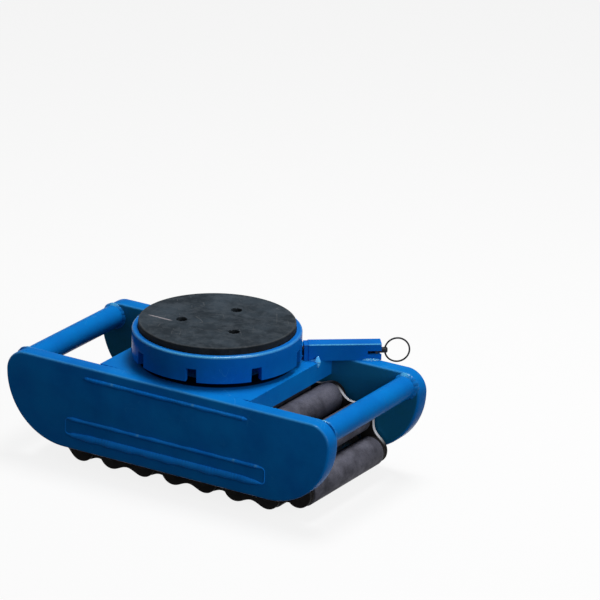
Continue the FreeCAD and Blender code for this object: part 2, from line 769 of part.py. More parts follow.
# Bush in the cup's hub
pivot_bush = tube("pivot_bush", BUSH_RADIUS, "post_diameter / 2 + running_fit", "bush_length")
pivot_bush.setExpression("Placement.Base.z", bound(f"{CHEEK_TOP} + {POCKET_FLOOR} - bush_length"))
nodes.append(pivot_bush)

# Rubber pad in the cup's recess, held by screws in stepped holes
rubber_pad = new_body("rubber_pad", f"{CHEEK_TOP} + {DISC_TOP}")
pad_radius = f"({RECESS_RADIUS} - pad_play)"
pad_top = "(pad_recess + pad_proud)"
pad_profile = [
    ("0", "0"),
    (pad_radius, "0"),
    (pad_radius, f"{pad_top} - pad_chamfer"),
    (f"{pad_radius} - pad_chamfer", pad_top),
    ("0", pad_top),
]
revolve(rubber_pad, new_sketch(rubber_pad, "pad_profile", "XZ_Plane", [pad_profile]), "V_Axis")
for name, radius, depth in (
    ("head_well", "pad_head_diameter / 2 + pad_head_play", f"{pad_top} - pad_screw_seat"),
    ("shank_hole", "pad_screw_diameter / 2 + pad_head_play", pad_top),
):
    well = pad_screw_sketch(rubber_pad, name, radius, pad_top)
    around(rubber_pad, pocket(rubber_pad, well, depth), "pad_screw_count")
nodes.append(rubber_pad)

# Pad screws
pad_screw = new_body("pad_screw")
pad_screw_profile = [
    ("0", "-pad_screw_seat - pad_screw_reach"),
    ("pad_screw_diameter / 2", "-pad_screw_seat - pad_screw_reach"),
    ("pad_screw_diameter / 2", "0"),
    ("pad_head_diameter / 2", "0"),
    ("pad_head_diameter / 2", "pad_head_height"),
    ("0", "pad_head_height"),
]
revolve(pad_screw, new_sketch(pad_screw, "pad_screw_profile", "XZ_Plane", [pad_screw_profile]), "V_Axis")
screw_count = int(number("pad_screw_count"))
screw_height = number(f"{CHEEK_TOP} + {DISC_TOP} + pad_screw_seat")
screw_places = []
for i in range(screw_count):
    turn = math.radians(number("pad_screw_angle") + 360 * i / screw_count)
    reach = number("pad_screw_circle / 2")
    place = Vector(reach * math.cos(turn), reach * math.sin(turn), screw_height)
    screw_places.append(Placement(place, Rotation()))
nodes.append(group("pad_screws", pad_screw, screw_places))

# Lock housing on the top plate and the far cheek, radial, with X outwards from the swivel axis
lock_housing = new_body("lock_housing", CHEEK_TOP, "lock_angle")
housing_half = "(housing_width / 2)"
housing_section = [
    (f"-{housing_half}", "0"),
    (housing_half, "0"),
    (housing_half, "housing_height - housing_chamfer"),
    (f"{housing_half} - housing_chamfer", "housing_height"),
    (f"housing_chamfer - {housing_half}", "housing_height"),
    (f"-{housing_half}", "housing_height - housing_chamfer"),
]
block = new_sketch(lock_housing, "housing_section", "YZ_Plane", [housing_section], offset=HOUSING_START)
pad(lock_housing, block, f"{HOUSING_END} - {HOUSING_START}")


def axis_circle(body, name, radius, offset):
    """A circle about the plunger's axis in the lock housing."""
    return new_sketch(body, name, "YZ_Plane", circles=[("0", LOCK_HEIGHT, radius)], offset=offset)


nose_half = f"({housing_half} - nose_inset)"
nose_section = box_corners(f"-{nose_half}", nose_half, "0", "housing_height - nose_inset")
pad(lock_housing, new_sketch(lock_housing, "nose", "YZ_Plane", [nose_section], offset=NOSE_START), "nose_length")
guide = axis_circle(lock_housing, "guide_bore", "plunger_diameter / 2 + running_fit", HOUSING_END)
pocket(lock_housing, guide, f"{HOUSING_END} - {NOSE_START}")
chamber = axis_circle(lock_housing, "spring_chamber", "chamber_diameter / 2", HOUSING_END)
pocket(lock_housing, chamber, f"{HOUSING_END} - {GUIDE_END}")
slot_half = "(slot_height / 2)"
pin_slot = box_corners(
    SLOT_START, f"{HOUSING_END} + slot_height", f"{LOCK_HEIGHT} - {slot_half}", f"{LOCK_HEIGHT} + {slot_half}"
)
pocket(lock_housing, new_sketch(lock_housing, "pin_slot", "XZ_Plane", [pin_slot]))
nodes.append(lock_housing)


def lock_place(reach):
    """A place on the plunger's axis, with local Z along it, at a distance from the swivel axis."""
    turn = Rotation(Vector(0, 0, 1), number("lock_angle"))
    axis = Vector(number(reach), 0, number(f"{CHEEK_TOP} + {LOCK_HEIGHT}"))
    return Placement(turn.multVec(axis), turn.multiply(Rotation(Vector(0, 1, 0), 90)))


# End plug and spring in the housing's chamber
end_plug = tube("lock_end_plug", "chamber_diameter / 2", "tail_diameter / 2 + running_fit", "plug_length")
end_plug.Placement = lock_place(PLUG_START)
nodes.append(end_plug)
spring_radius = "(chamber_diameter / 2 - spring_play)"
lock_spring = tube(
    "lock_spring", spring_radius, f"{spring_radius} - spring_wall", f"{PLUG_START} - {COLLAR_END}"
)
lock_spring.Placement = lock_place(COLLAR_END)
nodes.append(lock_spring)

# Lock plunger with its collar and tail, cross drilled for the ring and the cross pin
lock_plunger = new_body("lock_plunger", f"{CHEEK_TOP} + {LOCK_HEIGHT}", "lock_angle")
tip = f"({CUP_RADIUS} + tip_gap)"
cross_pin_place = f"({HOUSING_END} - cross_pin_setback)"
plunger_profile = [
    (tip, "0"),
    (TAIL_END, "0"),
    (TAIL_END, "tail_diameter / 2 - plunger_tip_chamfer"),
    (f"{TAIL_END} - plunger_tip_chamfer", "tail_diameter / 2"),
    (COLLAR_END, "tail_diameter / 2"),
    (COLLAR_END, "chamber_diameter / 2 - collar_play"),
    (COLLAR_START, "chamber_diameter / 2 - collar_play"),
    (COLLAR_START, "plunger_diameter / 2"),
    (f"{tip} + plunger_tip_chamfer", "plunger_diameter / 2"),
    (tip, "plunger_diameter / 2 - plunger_tip_chamfer"),
]
revolve(lock_plunger, new_sketch(lock_plunger, "plunger_profile", "XZ_Plane", [plunger_profile]), "H_Axis")
ring_hole = [(RING_HOLE, "0", "ring_hole_diameter / 2")]
pocket(lock_plunger, new_sketch(lock_plunger, "ring_hole", "XY_Plane", circles=ring_hole))
pin_hole = [(cross_pin_place, "0", "cross_pin_diameter / 2")]
pocket(lock_plunger, new_sketch(lock_plunger, "pin_hole", "XZ_Plane", circles=pin_hole))
nodes.append(lock_plunger)

# Cross pin that keeps the plunger from turning
cross_pin = new_body("plunger_cross_pin", f"{CHEEK_TOP} + {LOCK_HEIGHT}", "lock_angle")
pin_sketch = new_sketch(cross_pin, "cross_pin_section", "XZ_Plane", circles=pin_hole)
pad(cross_pin, pin_sketch, "housing_width - 2 * cross_pin_inset", both_ways=True)
nodes.append(cross_pin)

# Pull ring through the plunger's tail, six sided wire turned about the ring's centre
pull_ring = new_body("pull_ring", f"{CHEEK_TOP} + {LOCK_HEIGHT}")
wire_corners = []
for i in range(6):
    turn = f"({i} * 60 deg)"
    wire_corners.append(
        (
            f"(ring_diameter - wire_diameter) / 2 + wire_diameter / 2 * cos({turn})",
            f"wire_diameter / 2 * sin({turn})",
        )
    )
revolve(pull_ring, new_sketch(pull_ring, "wire_section", "XY_Plane", [wire_corners]), "V_Axis")
lock_turn = Rotation(Vector(0, 0, 1), number("lock_angle"))
ring_centre = number(f"{RING_HOLE} + (ring_diameter - wire_diameter) / 2")
pull_ring.Placement = Placement(lock_turn.multVec(Vector(ring_centre, 0, 0)), lock_turn)
pull_ring.setExpression("Placement.Base.z", bound(f"{CHEEK_TOP} + {LOCK_HEIGHT}"))
nodes.append(pull_ring)

# Check every object, then write each sub-part
doc.recompute()
for item in doc.Objects:
    if "Invalid" in item.State or "Error" in item.State:
        raise ValueError(f"{item.Label} is {item.State}")
for node in nodes:
    if node.Shape.isNull() or not node.Shape.isValid():
        raise ValueError(f"{node.Label} has no valid shape")
os.makedirs("parts", exist_ok=True)
for node in nodes:
    node.Shape.exportStep(f"parts/{node.Label}.step")
half_length = number(HALF_LENGTH)
print(f"{len(nodes)} sub-parts, {roller_count} rollers, upper run half length {chain_line[0]:.2f} mm")
print(f"cheeks {2 * half_length:.1f} mm long, cheek top {number(CHEEK_TOP):.1f} mm above the floor")
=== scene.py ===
# %% [markdown]
# # A machine skate
# A machine skate carries one corner of a heavy machine. Two thick steel cheeks hold a top plate and a
# track beam, an endless chain of rollers runs round the beam, and a rubber topped swivel takes the load.
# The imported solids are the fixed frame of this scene. Here they get their finishes, and the pieces whose
# edges, welds or wear the eye looks for are made again as smooth surfaces.

import json
import math

import bmesh
import bpy
import numpy as np
from mathutils import Matrix, Vector


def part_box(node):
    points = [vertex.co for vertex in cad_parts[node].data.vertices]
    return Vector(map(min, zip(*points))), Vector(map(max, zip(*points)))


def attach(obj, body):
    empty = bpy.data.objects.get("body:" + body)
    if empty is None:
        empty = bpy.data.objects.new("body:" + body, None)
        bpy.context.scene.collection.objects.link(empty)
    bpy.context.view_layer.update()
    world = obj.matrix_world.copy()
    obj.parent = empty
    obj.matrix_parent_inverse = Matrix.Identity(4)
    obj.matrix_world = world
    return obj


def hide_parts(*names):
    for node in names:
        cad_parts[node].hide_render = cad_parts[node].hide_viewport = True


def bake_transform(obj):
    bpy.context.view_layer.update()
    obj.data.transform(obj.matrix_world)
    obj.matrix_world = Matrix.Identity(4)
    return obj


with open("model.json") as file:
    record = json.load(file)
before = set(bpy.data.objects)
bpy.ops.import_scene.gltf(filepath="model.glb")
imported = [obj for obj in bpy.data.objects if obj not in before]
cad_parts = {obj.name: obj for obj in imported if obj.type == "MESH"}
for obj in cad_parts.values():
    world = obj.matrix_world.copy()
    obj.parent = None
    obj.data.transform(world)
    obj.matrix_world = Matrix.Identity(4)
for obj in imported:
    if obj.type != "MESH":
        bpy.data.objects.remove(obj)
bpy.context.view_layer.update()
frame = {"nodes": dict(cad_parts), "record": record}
nodes = frame["nodes"]
MM = 0.001

# %% [markdown]
# ## Surfaces from arrays
# Every new piece is a set of shells. A shell is a grid of points: each row is a closed ring, and the rows
# follow each other along the piece. The first and last rows are closed by a flat face, or the rows join up
# into a loop. One array expression gives all the points, so a shape stays a short formula.

# %% Shell helpers
SHARP_ANGLE = math.radians(38)


def ring_quads(rows, columns, looped):
    """Quads between each row and the next. Columns always join up, and rows do where they are looped."""
    row = np.arange(rows if looped else rows - 1)[:, None]
    column = np.arange(columns)[None, :]
    below = (row + 1) % rows
    after = (column + 1) % columns
    corners = [(row, column), (row, after), (below, after), (below, column)]
    return np.stack([r * columns + c for r, c in corners], -1).reshape(-1, 4)


def make_piece(name, shells, material, body, replaces=()):
    """One mesh from shells of (points, looped, edge), where edge is 1 on worn edges and on painted
    highlights, and 0 on flats. It moves with its body, or stays free where it has none yet."""
    corners, faces, edges, start = [], [], [], 0
    for points, looped, edge in shells:
        rows, columns = points.shape[:2]
        corners.append(points.reshape(-1, 3))
        edges.append(np.broadcast_to(edge, (rows, columns)).reshape(-1))
        faces += (ring_quads(rows, columns, looped) + start).tolist()
        if not looped:
            faces.append((np.arange(columns) + start).tolist())
            faces.append((np.arange(columns) + start + (rows - 1) * columns).tolist())
        start += rows * columns
    mesh = bpy.data.meshes.new(name)
    mesh.from_pydata(np.concatenate(corners).tolist(), [], faces)
    solid = bmesh.new()
    solid.from_mesh(mesh)
    bmesh.ops.recalc_face_normals(solid, faces=solid.faces)
    solid.to_mesh(mesh)
    solid.free()
    edge_mask = mesh.attributes.new("edge", "FLOAT", "POINT")
    edge_mask.data.foreach_set("value", np.concatenate(edges).astype(np.float32))
    mesh.polygons.foreach_set("use_smooth", np.ones(len(mesh.polygons), bool))
    mesh.set_sharp_from_angle(angle=SHARP_ANGLE)
    mesh.materials.append(material)
    made = bpy.data.objects.new(name, mesh)
    bpy.context.scene.collection.objects.link(made)
    if body:
        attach(made, body)
    if replaces:
        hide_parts(*replaces)
    print(name, len(mesh.polygons), "faces")
    return made


def turned(profile, segments):
    """A profile of (radius, height) turned about Z: x is radius times cosine, y is radius times sine."""
    turn = np.linspace(0, 2 * np.pi, segments, endpoint=False)
    radius, height = np.asarray(profile, float).T
    x = radius[:, None] * np.cos(turn)
    y = radius[:, None] * np.sin(turn)
    return np.stack([x, y, np.broadcast_to(height[:, None], x.shape)], -1)


def rounded_plate(outline, outward, low, high, radius, steps=5):
    """An outline in X and Z made thick along Y. Near each face the ring draws in along a quarter circle:
    the inset is radius times one minus sine, and the depth is radius times one minus cosine."""
    turn = np.linspace(0, np.pi / 2, steps)
    inset = radius * (1 - np.sin(turn))
    depth = radius * (1 - np.cos(turn))
    inset = np.concatenate([inset, inset[::-1]])[:, None, None]
    y = np.concatenate([low + depth, high - depth[::-1]])
    flat = outline[None] - inset * outward[None]
    points = np.stack([flat[..., 0], np.broadcast_to(y[:, None], flat.shape[:2]), flat[..., 1]], -1)
    edge_mask = np.concatenate([np.sin(2 * turn), np.sin(2 * turn)])[:, None]
    return points, False, edge_mask


def arc_outline(arcs, steps=28):
    """Arcs of (centre x, centre z, radius, first angle, last angle), joined by straight runs, as points and
    outward directions. A point is its centre plus radius times its direction, and points that fall
    together are kept once."""
    points, outward = [], []
    for x, z, radius, first, last in arcs:
        turn = np.radians(np.linspace(first, last, steps))
        ray = np.stack([np.cos(turn), np.sin(turn)], -1)
        points.append(np.array([x, z]) + radius * ray)
        outward.append(ray)
    points, outward = np.concatenate(points), np.concatenate(outward)
    apart = np.linalg.norm(points - np.roll(points, 1, 0), axis=1) > 0.01 * MM
    return points[apart], outward[apart]


# %% [markdown]
# ## Shader building blocks
# Materials here are trees of nodes. Small helpers place nodes, link their inputs and reckon with their
# values, so that each finish below reads as a list of what it is made of.


# %% Node helpers
def place(tree, kind, sockets=None, **settings):
    """A shader node with its settings, and its inputs linked or set by name or number."""
    made = tree.nodes.new("ShaderNode" + kind)
    for name, value in settings.items():
        setattr(made, name, value)
    for key, value in (sockets or {}).items():
        if isinstance(value, bpy.types.NodeSocket):
            tree.links.new(value, made.inputs[key])
        else:
            made.inputs[key].default_value = value
    return made


def sums(tree, operation, first, second=0.0, held=True):
    """One step of arithmetic, held between 0 and 1 unless it is left free."""
    return place(tree, "Math", {0: first, 1: second}, operation=operation, use_clamp=held).outputs[0]


def times(tree, first, second):
    """The product of two values, held between 0 and 1."""
    return sums(tree, "MULTIPLY", first, second)


def distance(tree, value, middle=0.0):
    """How far a value lies from a middle one, on either side."""
    return sums(tree, "ABSOLUTE", sums(tree, "SUBTRACT", value, middle, held=False), held=False)


def span(tree, value, low, high, to_low=0.0, to_high=1.0):
    """A value carried from one range to another, and held inside it."""
    sockets = {"Value": value, "From Min": low, "From Max": high, "To Min": to_low, "To Max": to_high}
    return place(tree, "MapRange", sockets, clamp=True).outputs[0]


def blend(tree, amount, first, second):
    """One colour that turns into another."""
    made = place(tree, "Mix", {0: amount, 6: first, 7: second}, data_type="RGBA")
    return made.outputs[2]


def object_spot(tree):
    """Where a point of the surface lies, in its object's own coordinates."""
    return place(tree, "TexCoord").outputs["Object"]


def coordinate(tree, vector, axis):
    """One coordinate of a vector, by the name of its axis."""
    return place(tree, "SeparateXYZ", {0: vector}).outputs[axis]


def edge_attribute(tree):
    """The edge mask that make_piece keeps in each mesh."""
    return place(tree, "Attribute", attribute_name="edge").outputs["Fac"]


def noise(tree, spot, scale, detail, roughness=0.5):
    """Soft noise about one half."""
    sockets = {"Vector": spot, "Scale": scale, "Detail": detail, "Roughness": roughness}
    return place(tree, "TexNoise", sockets).outputs[0]


def coloured(red, green, blue):
    """A colour from its screen values of 0 to 255, as the linear light that nodes work in."""
    level = np.array([red, green, blue]) / 255
    linear = np.where(level <= 0.04045, level / 12.92, ((level + 0.055) / 1.055) ** 2.4)
    return (*linear.tolist(), 1.0)


def new_group(name, inputs, outputs):
    """An empty node group with number inputs and outputs, and its two end nodes."""
    group = bpy.data.node_groups.new(name, "ShaderNodeTree")
    for label, value in inputs.items():
        socket = group.interface.new_socket(name=label, in_out="INPUT", socket_type="NodeSocketFloat")
        socket.default_value = value
    for label in outputs:
        group.interface.new_socket(name=label, in_out="OUTPUT", socket_type="NodeSocketFloat")
    return group, group.nodes.new("NodeGroupInput").outputs, group.nodes.new("NodeGroupOutput").inputs


def use_group(tree, group, values=None):
    """A group placed in a material with its own values."""
    made = tree.nodes.new("ShaderNodeGroup")
    made.node_tree = group
    for key, value in (values or {}).items():
        made.inputs[key].default_value = value
    return made.outputs


def new_material(name, metallic, specular):
    """A material with one Principled shader, and the tree and shader to fill in."""
    material = bpy.data.materials.new(name)
    material.use_nodes = True
    shader = material.node_tree.nodes["Principled BSDF"]
    shader.inputs["Metallic"].default_value = metallic
    shader.inputs["Specular IOR Level"].default_value = specular
    return material, material.node_tree, shader


def finish_with(tree, shader, colour, roughness, height, depth):
    """Link a colour, a roughness and a bump, whose depth is in metres, to the shader."""
    tree.links.new(colour, shader.inputs["Base Color"])
    tree.links.new(roughness, shader.inputs["Roughness"])
    bump = place(tree, "Bump", {"Height": height, "Distance": depth, "Strength": 1.0})
    tree.links.new(bump.outputs[0], shader.inputs["Normal"])


# %% [markdown]
# ## Effects that several finishes share
# Sprayed enamel has a fine dimpled skin and slow changes of tone. Shop wear leaves short scratches. Dirt
# and oil gather in soft clouds. Each is a node group, so that it looks the same wherever it turns up.

# %% Skin of sprayed enamel
skin_group, skin_in, skin_out = new_group(
    "enamel_skin", {"Dimple scale": 420.0, "Cloud scale": 22.0}, ["Height", "Cloud"]
)
spot = object_spot(skin_group)
dimple = noise(skin_group, spot, skin_in["Dimple scale"], 2.0, 0.45)
cloud = noise(skin_group, spot, skin_in["Cloud scale"], 4.0, 0.55)
skin_group.links.new(dimple, skin_out["Height"])
skin_group.links.new(span(skin_group, cloud, 0.35, 0.65), skin_out["Cloud"])

# %% Short scratches
scratch_group, scratch_in, scratch_out = new_group(
    "shop_scratches", {"Scale": 90.0, "Thin": 0.012, "Share": 0.55}, ["Mask"]
)
spot = object_spot(scratch_group)
lines = []
for lean, stretch in ((0.25, 26.0), (2.1, 18.0)):
    sockets = {"Vector": spot, "Rotation": (0.1, 0.2, lean), "Scale": (stretch, 1.0, 1.0)}
    drawn = place(scratch_group, "Mapping", sockets, vector_type="TEXTURE").outputs[0]
    off = distance(scratch_group, noise(scratch_group, drawn, scratch_in["Scale"], 0.0), 0.5)
    lines.append(span(scratch_group, off, 0.0, scratch_in["Thin"], 1.0, 0.0))
patches = noise(scratch_group, spot, 38.0, 2.0)
here = sums(scratch_group, "GREATER_THAN", patches, scratch_in["Share"])
either = sums(scratch_group, "MAXIMUM", *lines)
scratch_group.links.new(times(scratch_group, either, here), scratch_out["Mask"])

# %% Clouds of dirt and oil
dirt_group, dirt_in, dirt_out = new_group(
    "dirt_clouds", {"Scale": 30.0, "Low": 0.45, "High": 0.7}, ["Mask", "Grain"]
)
spot = object_spot(dirt_group)
soft = noise(dirt_group, spot, dirt_in["Scale"], 6.0, 0.62)
grain = noise(dirt_group, spot, 900.0, 3.0, 0.6)
dirt_group.links.new(span(dirt_group, soft, dirt_in["Low"], dirt_in["High"]), dirt_out["Mask"])
dirt_group.links.new(grain, dirt_out["Grain"])
print("groups", [g.name for g in bpy.data.node_groups])

# %% [markdown]
# ## Blue enamel
# The frame is sprayed with a thick royal blue enamel. The coat pools a little darker in clouds, and its skin
# is dimpled. Edges show a paler line that shines: worn paint, and a painted highlight where the edge mask or
# a ridge carries one. Weld beads have a lighter coat, lighter also as painted highlight, with a rougher
# skin. The plate under the swivel is blackened as painted shade under the cup, and the cheeks' inner faces
# turn a dark teal as painted shade between the cheeks. The lock lies on a radius of the swivel, and its own
# directions say where its chamfers are.

# %% Directions of the lock
lock_angle = math.radians(37.5)
along = np.array([math.cos(lock_angle), math.sin(lock_angle), 0.0])
aside = np.array([-math.sin(lock_angle), math.cos(lock_angle), 0.0])
upward = np.array([0.0, 0.0, 1.0])
print("the lock lies along", along.round(3).tolist())

# %% Masks of the enamel
chamfer_fade = 0.2 * MM


def ridge_mask(tree, spot, direction, beyond, above):
    """Chamfers along a ridge, which carry a painted highlight: points further aside than one distance and
    higher than another.
    """
    aside = place(tree, "VectorMath", {0: spot, 1: direction}, operation="DOT_PRODUCT").outputs["Value"]
    outer = span(tree, distance(tree, aside), beyond, beyond + chamfer_fade)
    upper = span(tree, coordinate(tree, spot, "Z"), above, above + chamfer_fade)
    return times(tree, outer, upper)


def under_cup_shade_mask(tree, spot, radius):
    """Painted shade under the cup, within a radius of the swivel's axis, which is the length of x and y
    alone.
    """
    flat = place(tree, "VectorMath", {0: spot, 1: (1, 1, 0)}, operation="MULTIPLY").outputs[0]
    away = place(tree, "VectorMath", {0: flat}, operation="LENGTH").outputs["Value"]
    return span(tree, away, radius, radius + 2 * MM, 0.96, 0.0)


def inner_shade_mask(tree, spot, half_width, clouds):
    """Painted shade between the cheeks, nearer to the middle plane than a half width, deeper where there are
    clouds of dirt.
    """
    across = distance(tree, coordinate(tree, spot, "Y"))
    film = span(tree, clouds, 0.0, 1.0, 0.7, 1.0)
    return times(tree, film, span(tree, across, half_width, half_width + 0.5 * MM, 1.0, 0.0))


# %% Enamel made of layers
# The pale blue is the line of worn paint and of painted highlight on edges.
pooled_blue, worn_and_highlight_blue = coloured(2, 70, 148), coloured(96, 192, 236)
# The near black is painted shade under the cup, and the teal is painted shade between the cheeks.
under_cup_shade_black, inner_shade_teal = coloured(8, 10, 14), coloured(30, 108, 130)


def enamel(name, dimple_depth, edge_paling, tones, shade_radius=None, ridge=None, inner_shade_half=None):
    """Blue enamel: clouds change its tone, scratches and worn edges pale it, and so does a painted highlight
    wherever the edge mask carries one, and dimples make its bump. The shade radius gives painted shade under
    the cup, and the inner shade half width gives painted shade between the cheeks. A ridge is (direction,
    distance, height), and its chamfers take the pale line in place of the mesh's own edges."""
    material, tree, shader = new_material(name, 0.0, 0.01)
    skin = use_group(tree, skin_group)
    scratch = use_group(tree, scratch_group, {"Share": 0.62})["Mask"]
    dirt = use_group(tree, dirt_group, {"Scale": 16.0, "Low": 0.5, "High": 0.8})
    spot = object_spot(tree)
    edge_mask = ridge_mask(tree, spot, *ridge) if ridge else edge_attribute(tree)
    tone = blend(tree, skin["Cloud"], *tones)
    tone = blend(tree, times(tree, dirt["Mask"], 0.4), tone, pooled_blue)
    # Edges pale towards the pale blue: worn paint, and a painted highlight where the edge mask carries one.
    wear_and_highlight = times(tree, edge_mask, span(tree, dirt["Grain"], 0.45, 0.62, 0.5 * edge_paling, edge_paling))
    pale = sums(tree, "MAXIMUM", wear_and_highlight, times(tree, scratch, 0.1))
    tone = blend(tree, pale, tone, worn_and_highlight_blue)
    # Painted shade under the cup.
    if shade_radius:
        tone = blend(tree, under_cup_shade_mask(tree, spot, shade_radius), tone, under_cup_shade_black)
    # Painted shade on the cheeks' inner faces, between the cheeks.
    if inner_shade_half:
        tone = blend(tree, inner_shade_mask(tree, spot, inner_shade_half, dirt["Mask"]), tone, inner_shade_teal)
    shader.inputs["Coat Roughness"].default_value = 0.12
    tree.links.new(times(tree, edge_mask, edge_paling), shader.inputs["Coat Weight"])
    rough = span(tree, sums(tree, "ADD", dirt["Mask"], scratch), 0.0, 1.0, 0.2, 0.4)
    finish_with(tree, shader, tone, rough, skin["Height"], dimple_depth)
    return material


# %% Enamel materials
# The weld tones are lighter, partly as painted highlight. Enamels that pale their edges strongly, on the
# welds, fillets, cup and lock, make painted highlights there.
frame_tones = coloured(12, 112, 198), coloured(12, 124, 208)
cup_tones = coloured(10, 103, 193), coloured(10, 114, 203)
weld_tones = coloured(18, 134, 242), coloured(32, 148, 250)
inner_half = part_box("top_plate")[1].y
lock_ridge = tuple(aside), 6.9 * MM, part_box("lock_housing")[1].z - 1.1 * MM
blue_enamel = enamel("blue_enamel", 0.1 * MM, 0.3, frame_tones)
cheek_enamel = enamel("cheek_enamel", 0.1 * MM, 0.35, frame_tones, inner_shade_half=inner_half)
weld_enamel = enamel("weld_enamel", 0.3 * MM, 0.9, weld_tones)
fillet_enamel = enamel("fillet_enamel", 0.2 * MM, 1.0, frame_tones)
cup_enamel = enamel("cup_enamel", 0.1 * MM, 0.9, cup_tones)
plate_enamel = enamel("plate_enamel", 0.1 * MM, 0.3, frame_tones, shade_radius=78 * MM)
lock_enamel = enamel("lock_enamel", 0.1 * MM, 0.9, cup_tones, ridge=lock_ridge)
print("enamels", [m.name for m in bpy.data.materials])

# %% [markdown]
# ## Steel, bronze and rubber
# The rollers are hardened steel, mauve grey and dull with oil. The link plates are black with oil on their
# faces and bright along their edges, worn and with a painted highlight that fades towards the bottom. The
# pad is dull black rubber with grey dust, scuffs and one pale streak, and painted shade darkens its steep
# wall. A mask made from distances in X and Y puts the streak where it lies.

# %% Metal materials
grain_depth = 0.05 * MM
sheen_from, sheen_to = 10 * MM, 34 * MM


def metal(name, clean, dirty, smooth, rough, metallic=1.0, specular=0.5, streak=(1, 1, 1), bright=None):
    """Bare metal: dirt clouds turn its clean colour into a dirty one, grain drawn out along a streak
    direction makes its fine bump, and edges in the mask turn bright, worn and with a painted highlight that
    fades towards the bottom and where there are clouds of dirt."""
    material, tree, shader = new_material(name, metallic, specular)
    dirt = use_group(tree, dirt_group, {"Scale": 42.0, "Low": 0.4, "High": 0.68})
    scratch = use_group(tree, scratch_group, {"Scale": 160.0, "Thin": 0.02, "Share": 0.5})["Mask"]
    spot = object_spot(tree)
    lay = noise(tree, place(tree, "Mapping", {"Vector": spot, "Scale": streak}).outputs[0], 700.0, 3.0)
    tone = blend(tree, dirt["Mask"], clean, dirty)
    tone = blend(tree, times(tree, scratch, 0.25), tone, clean)
    tone = blend(tree, span(tree, dirt["Grain"], 0.5, 0.68, 0.0, 0.6), tone, dirty)
    # Painted highlight on bright edges, mixed with wear, fading towards the bottom and in dirt.
    if bright:
        above = span(tree, coordinate(tree, spot, "Z"), sheen_from, sheen_to, 0.1, 1.0)
        shine = times(tree, edge_attribute(tree), above)
        shine = times(tree, shine, span(tree, dirt["Mask"], 0.0, 1.0, 1.0, 0.7))
        tone = blend(tree, shine, tone, bright)
    dull = sums(tree, "ADD", dirt["Mask"], span(tree, lay, 0.3, 0.7, 0.0, 0.3))
    finish_with(tree, shader, tone, span(tree, dull, 0.0, 1.0, smooth, rough), lay, grain_depth)
    return material


roller_steel = metal("roller_steel", coloured(108, 108, 120), coloured(66, 66, 74), 0.42, 0.62,
                     metallic=0.0, specular=0.06, streak=(1, 0.2, 1))
link_plate = metal("link_plate", coloured(44, 42, 42), coloured(26, 24, 24), 0.4, 0.6,
                   metallic=0.0, specular=0.03, bright=coloured(250, 251, 255))
turned_steel = metal("turned_steel", coloured(190, 190, 194), coloured(126, 122, 120), 0.22, 0.45)
dark_steel = metal("dark_steel", coloured(60, 62, 66), coloured(30, 30, 32), 0.35, 0.6,
                   metallic=0.3, specular=0.3)
wire_steel = metal("wire_steel", coloured(40, 42, 48), coloured(26, 27, 30), 0.3, 0.45,
                   metallic=0.2, specular=0.3)
bearing_bronze = metal("bearing_bronze", coloured(196, 150, 84), coloured(120, 84, 44), 0.3, 0.5)

# %% Rubber with dust, scuffs and painted shade
pad_rubber, tree, shader = new_material("pad_rubber", 0.0, 0.08)
dust = use_group(tree, dirt_group, {"Scale": 26.0, "Low": 0.42, "High": 0.66})
fine = use_group(tree, dirt_group, {"Scale": 120.0, "Low": 0.45, "High": 0.62})
scuff = use_group(tree, scratch_group, {"Scale": 70.0, "Thin": 0.014, "Share": 0.58})["Mask"]
tone = blend(tree, dust["Mask"], coloured(37, 45, 52), coloured(60, 70, 79))
tone = blend(tree, times(tree, fine["Mask"], 0.4), tone, coloured(74, 81, 88))
tone = blend(tree, times(tree, scuff, 0.22), tone, coloured(140, 140, 140))
tone = blend(tree, times(tree, edge_attribute(tree), 0.16), tone, coloured(100, 98, 96))
# Painted shade: the pad's steep wall turns nearly black.
facing = coordinate(tree, place(tree, "TexCoord").outputs["Normal"], "Z")
tone = blend(tree, span(tree, facing, 0.1, 0.8, 0.6, 0.0), tone, coloured(12, 15, 16))
rough = span(tree, dust["Mask"], 0.0, 1.0, 0.62, 0.82)
height = sums(tree, "ADD", times(tree, dust["Grain"], 0.6), times(tree, fine["Mask"], 0.4))

# %% Pale streak on the rubber
streak_from, streak_to, streak_line = -66 * MM, -36 * MM, -27.2 * MM
wobble = 2 * MM
spot = object_spot(tree)
bend = sums(tree, "MULTIPLY", fine["Grain"], wobble, held=False)
bent = sums(tree, "ADD", coordinate(tree, spot, "Y"), bend, held=False)
off_line = distance(tree, bent, streak_line + wobble / 2)
lengthwise = coordinate(tree, spot, "X")
begins = span(tree, lengthwise, streak_from, streak_from + 6 * MM)
stops = span(tree, lengthwise, streak_to - 4 * MM, streak_to, 1.0, 0.0)
streak = times(tree, times(tree, begins, stops), span(tree, off_line, 0.3 * MM, 1.4 * MM, 0.75, 0.0))
tone = blend(tree, streak, tone, coloured(176, 168, 172))
finish_with(tree, shader, tone, rough, height, 0.3 * MM)
print("materials", len(bpy.data.materials))

# %% [markdown]
# ## Finishes on the solids
# Each solid names a material slot in its record. A table gives each slot its finish, and every solid takes
# the one for its slot, or its own: the plate under the swivel has painted shade, the lock housing has
# chamfers with a painted highlight, and its plunger is oily. The track beam is bare inside, and paint stops
# at the cheeks.

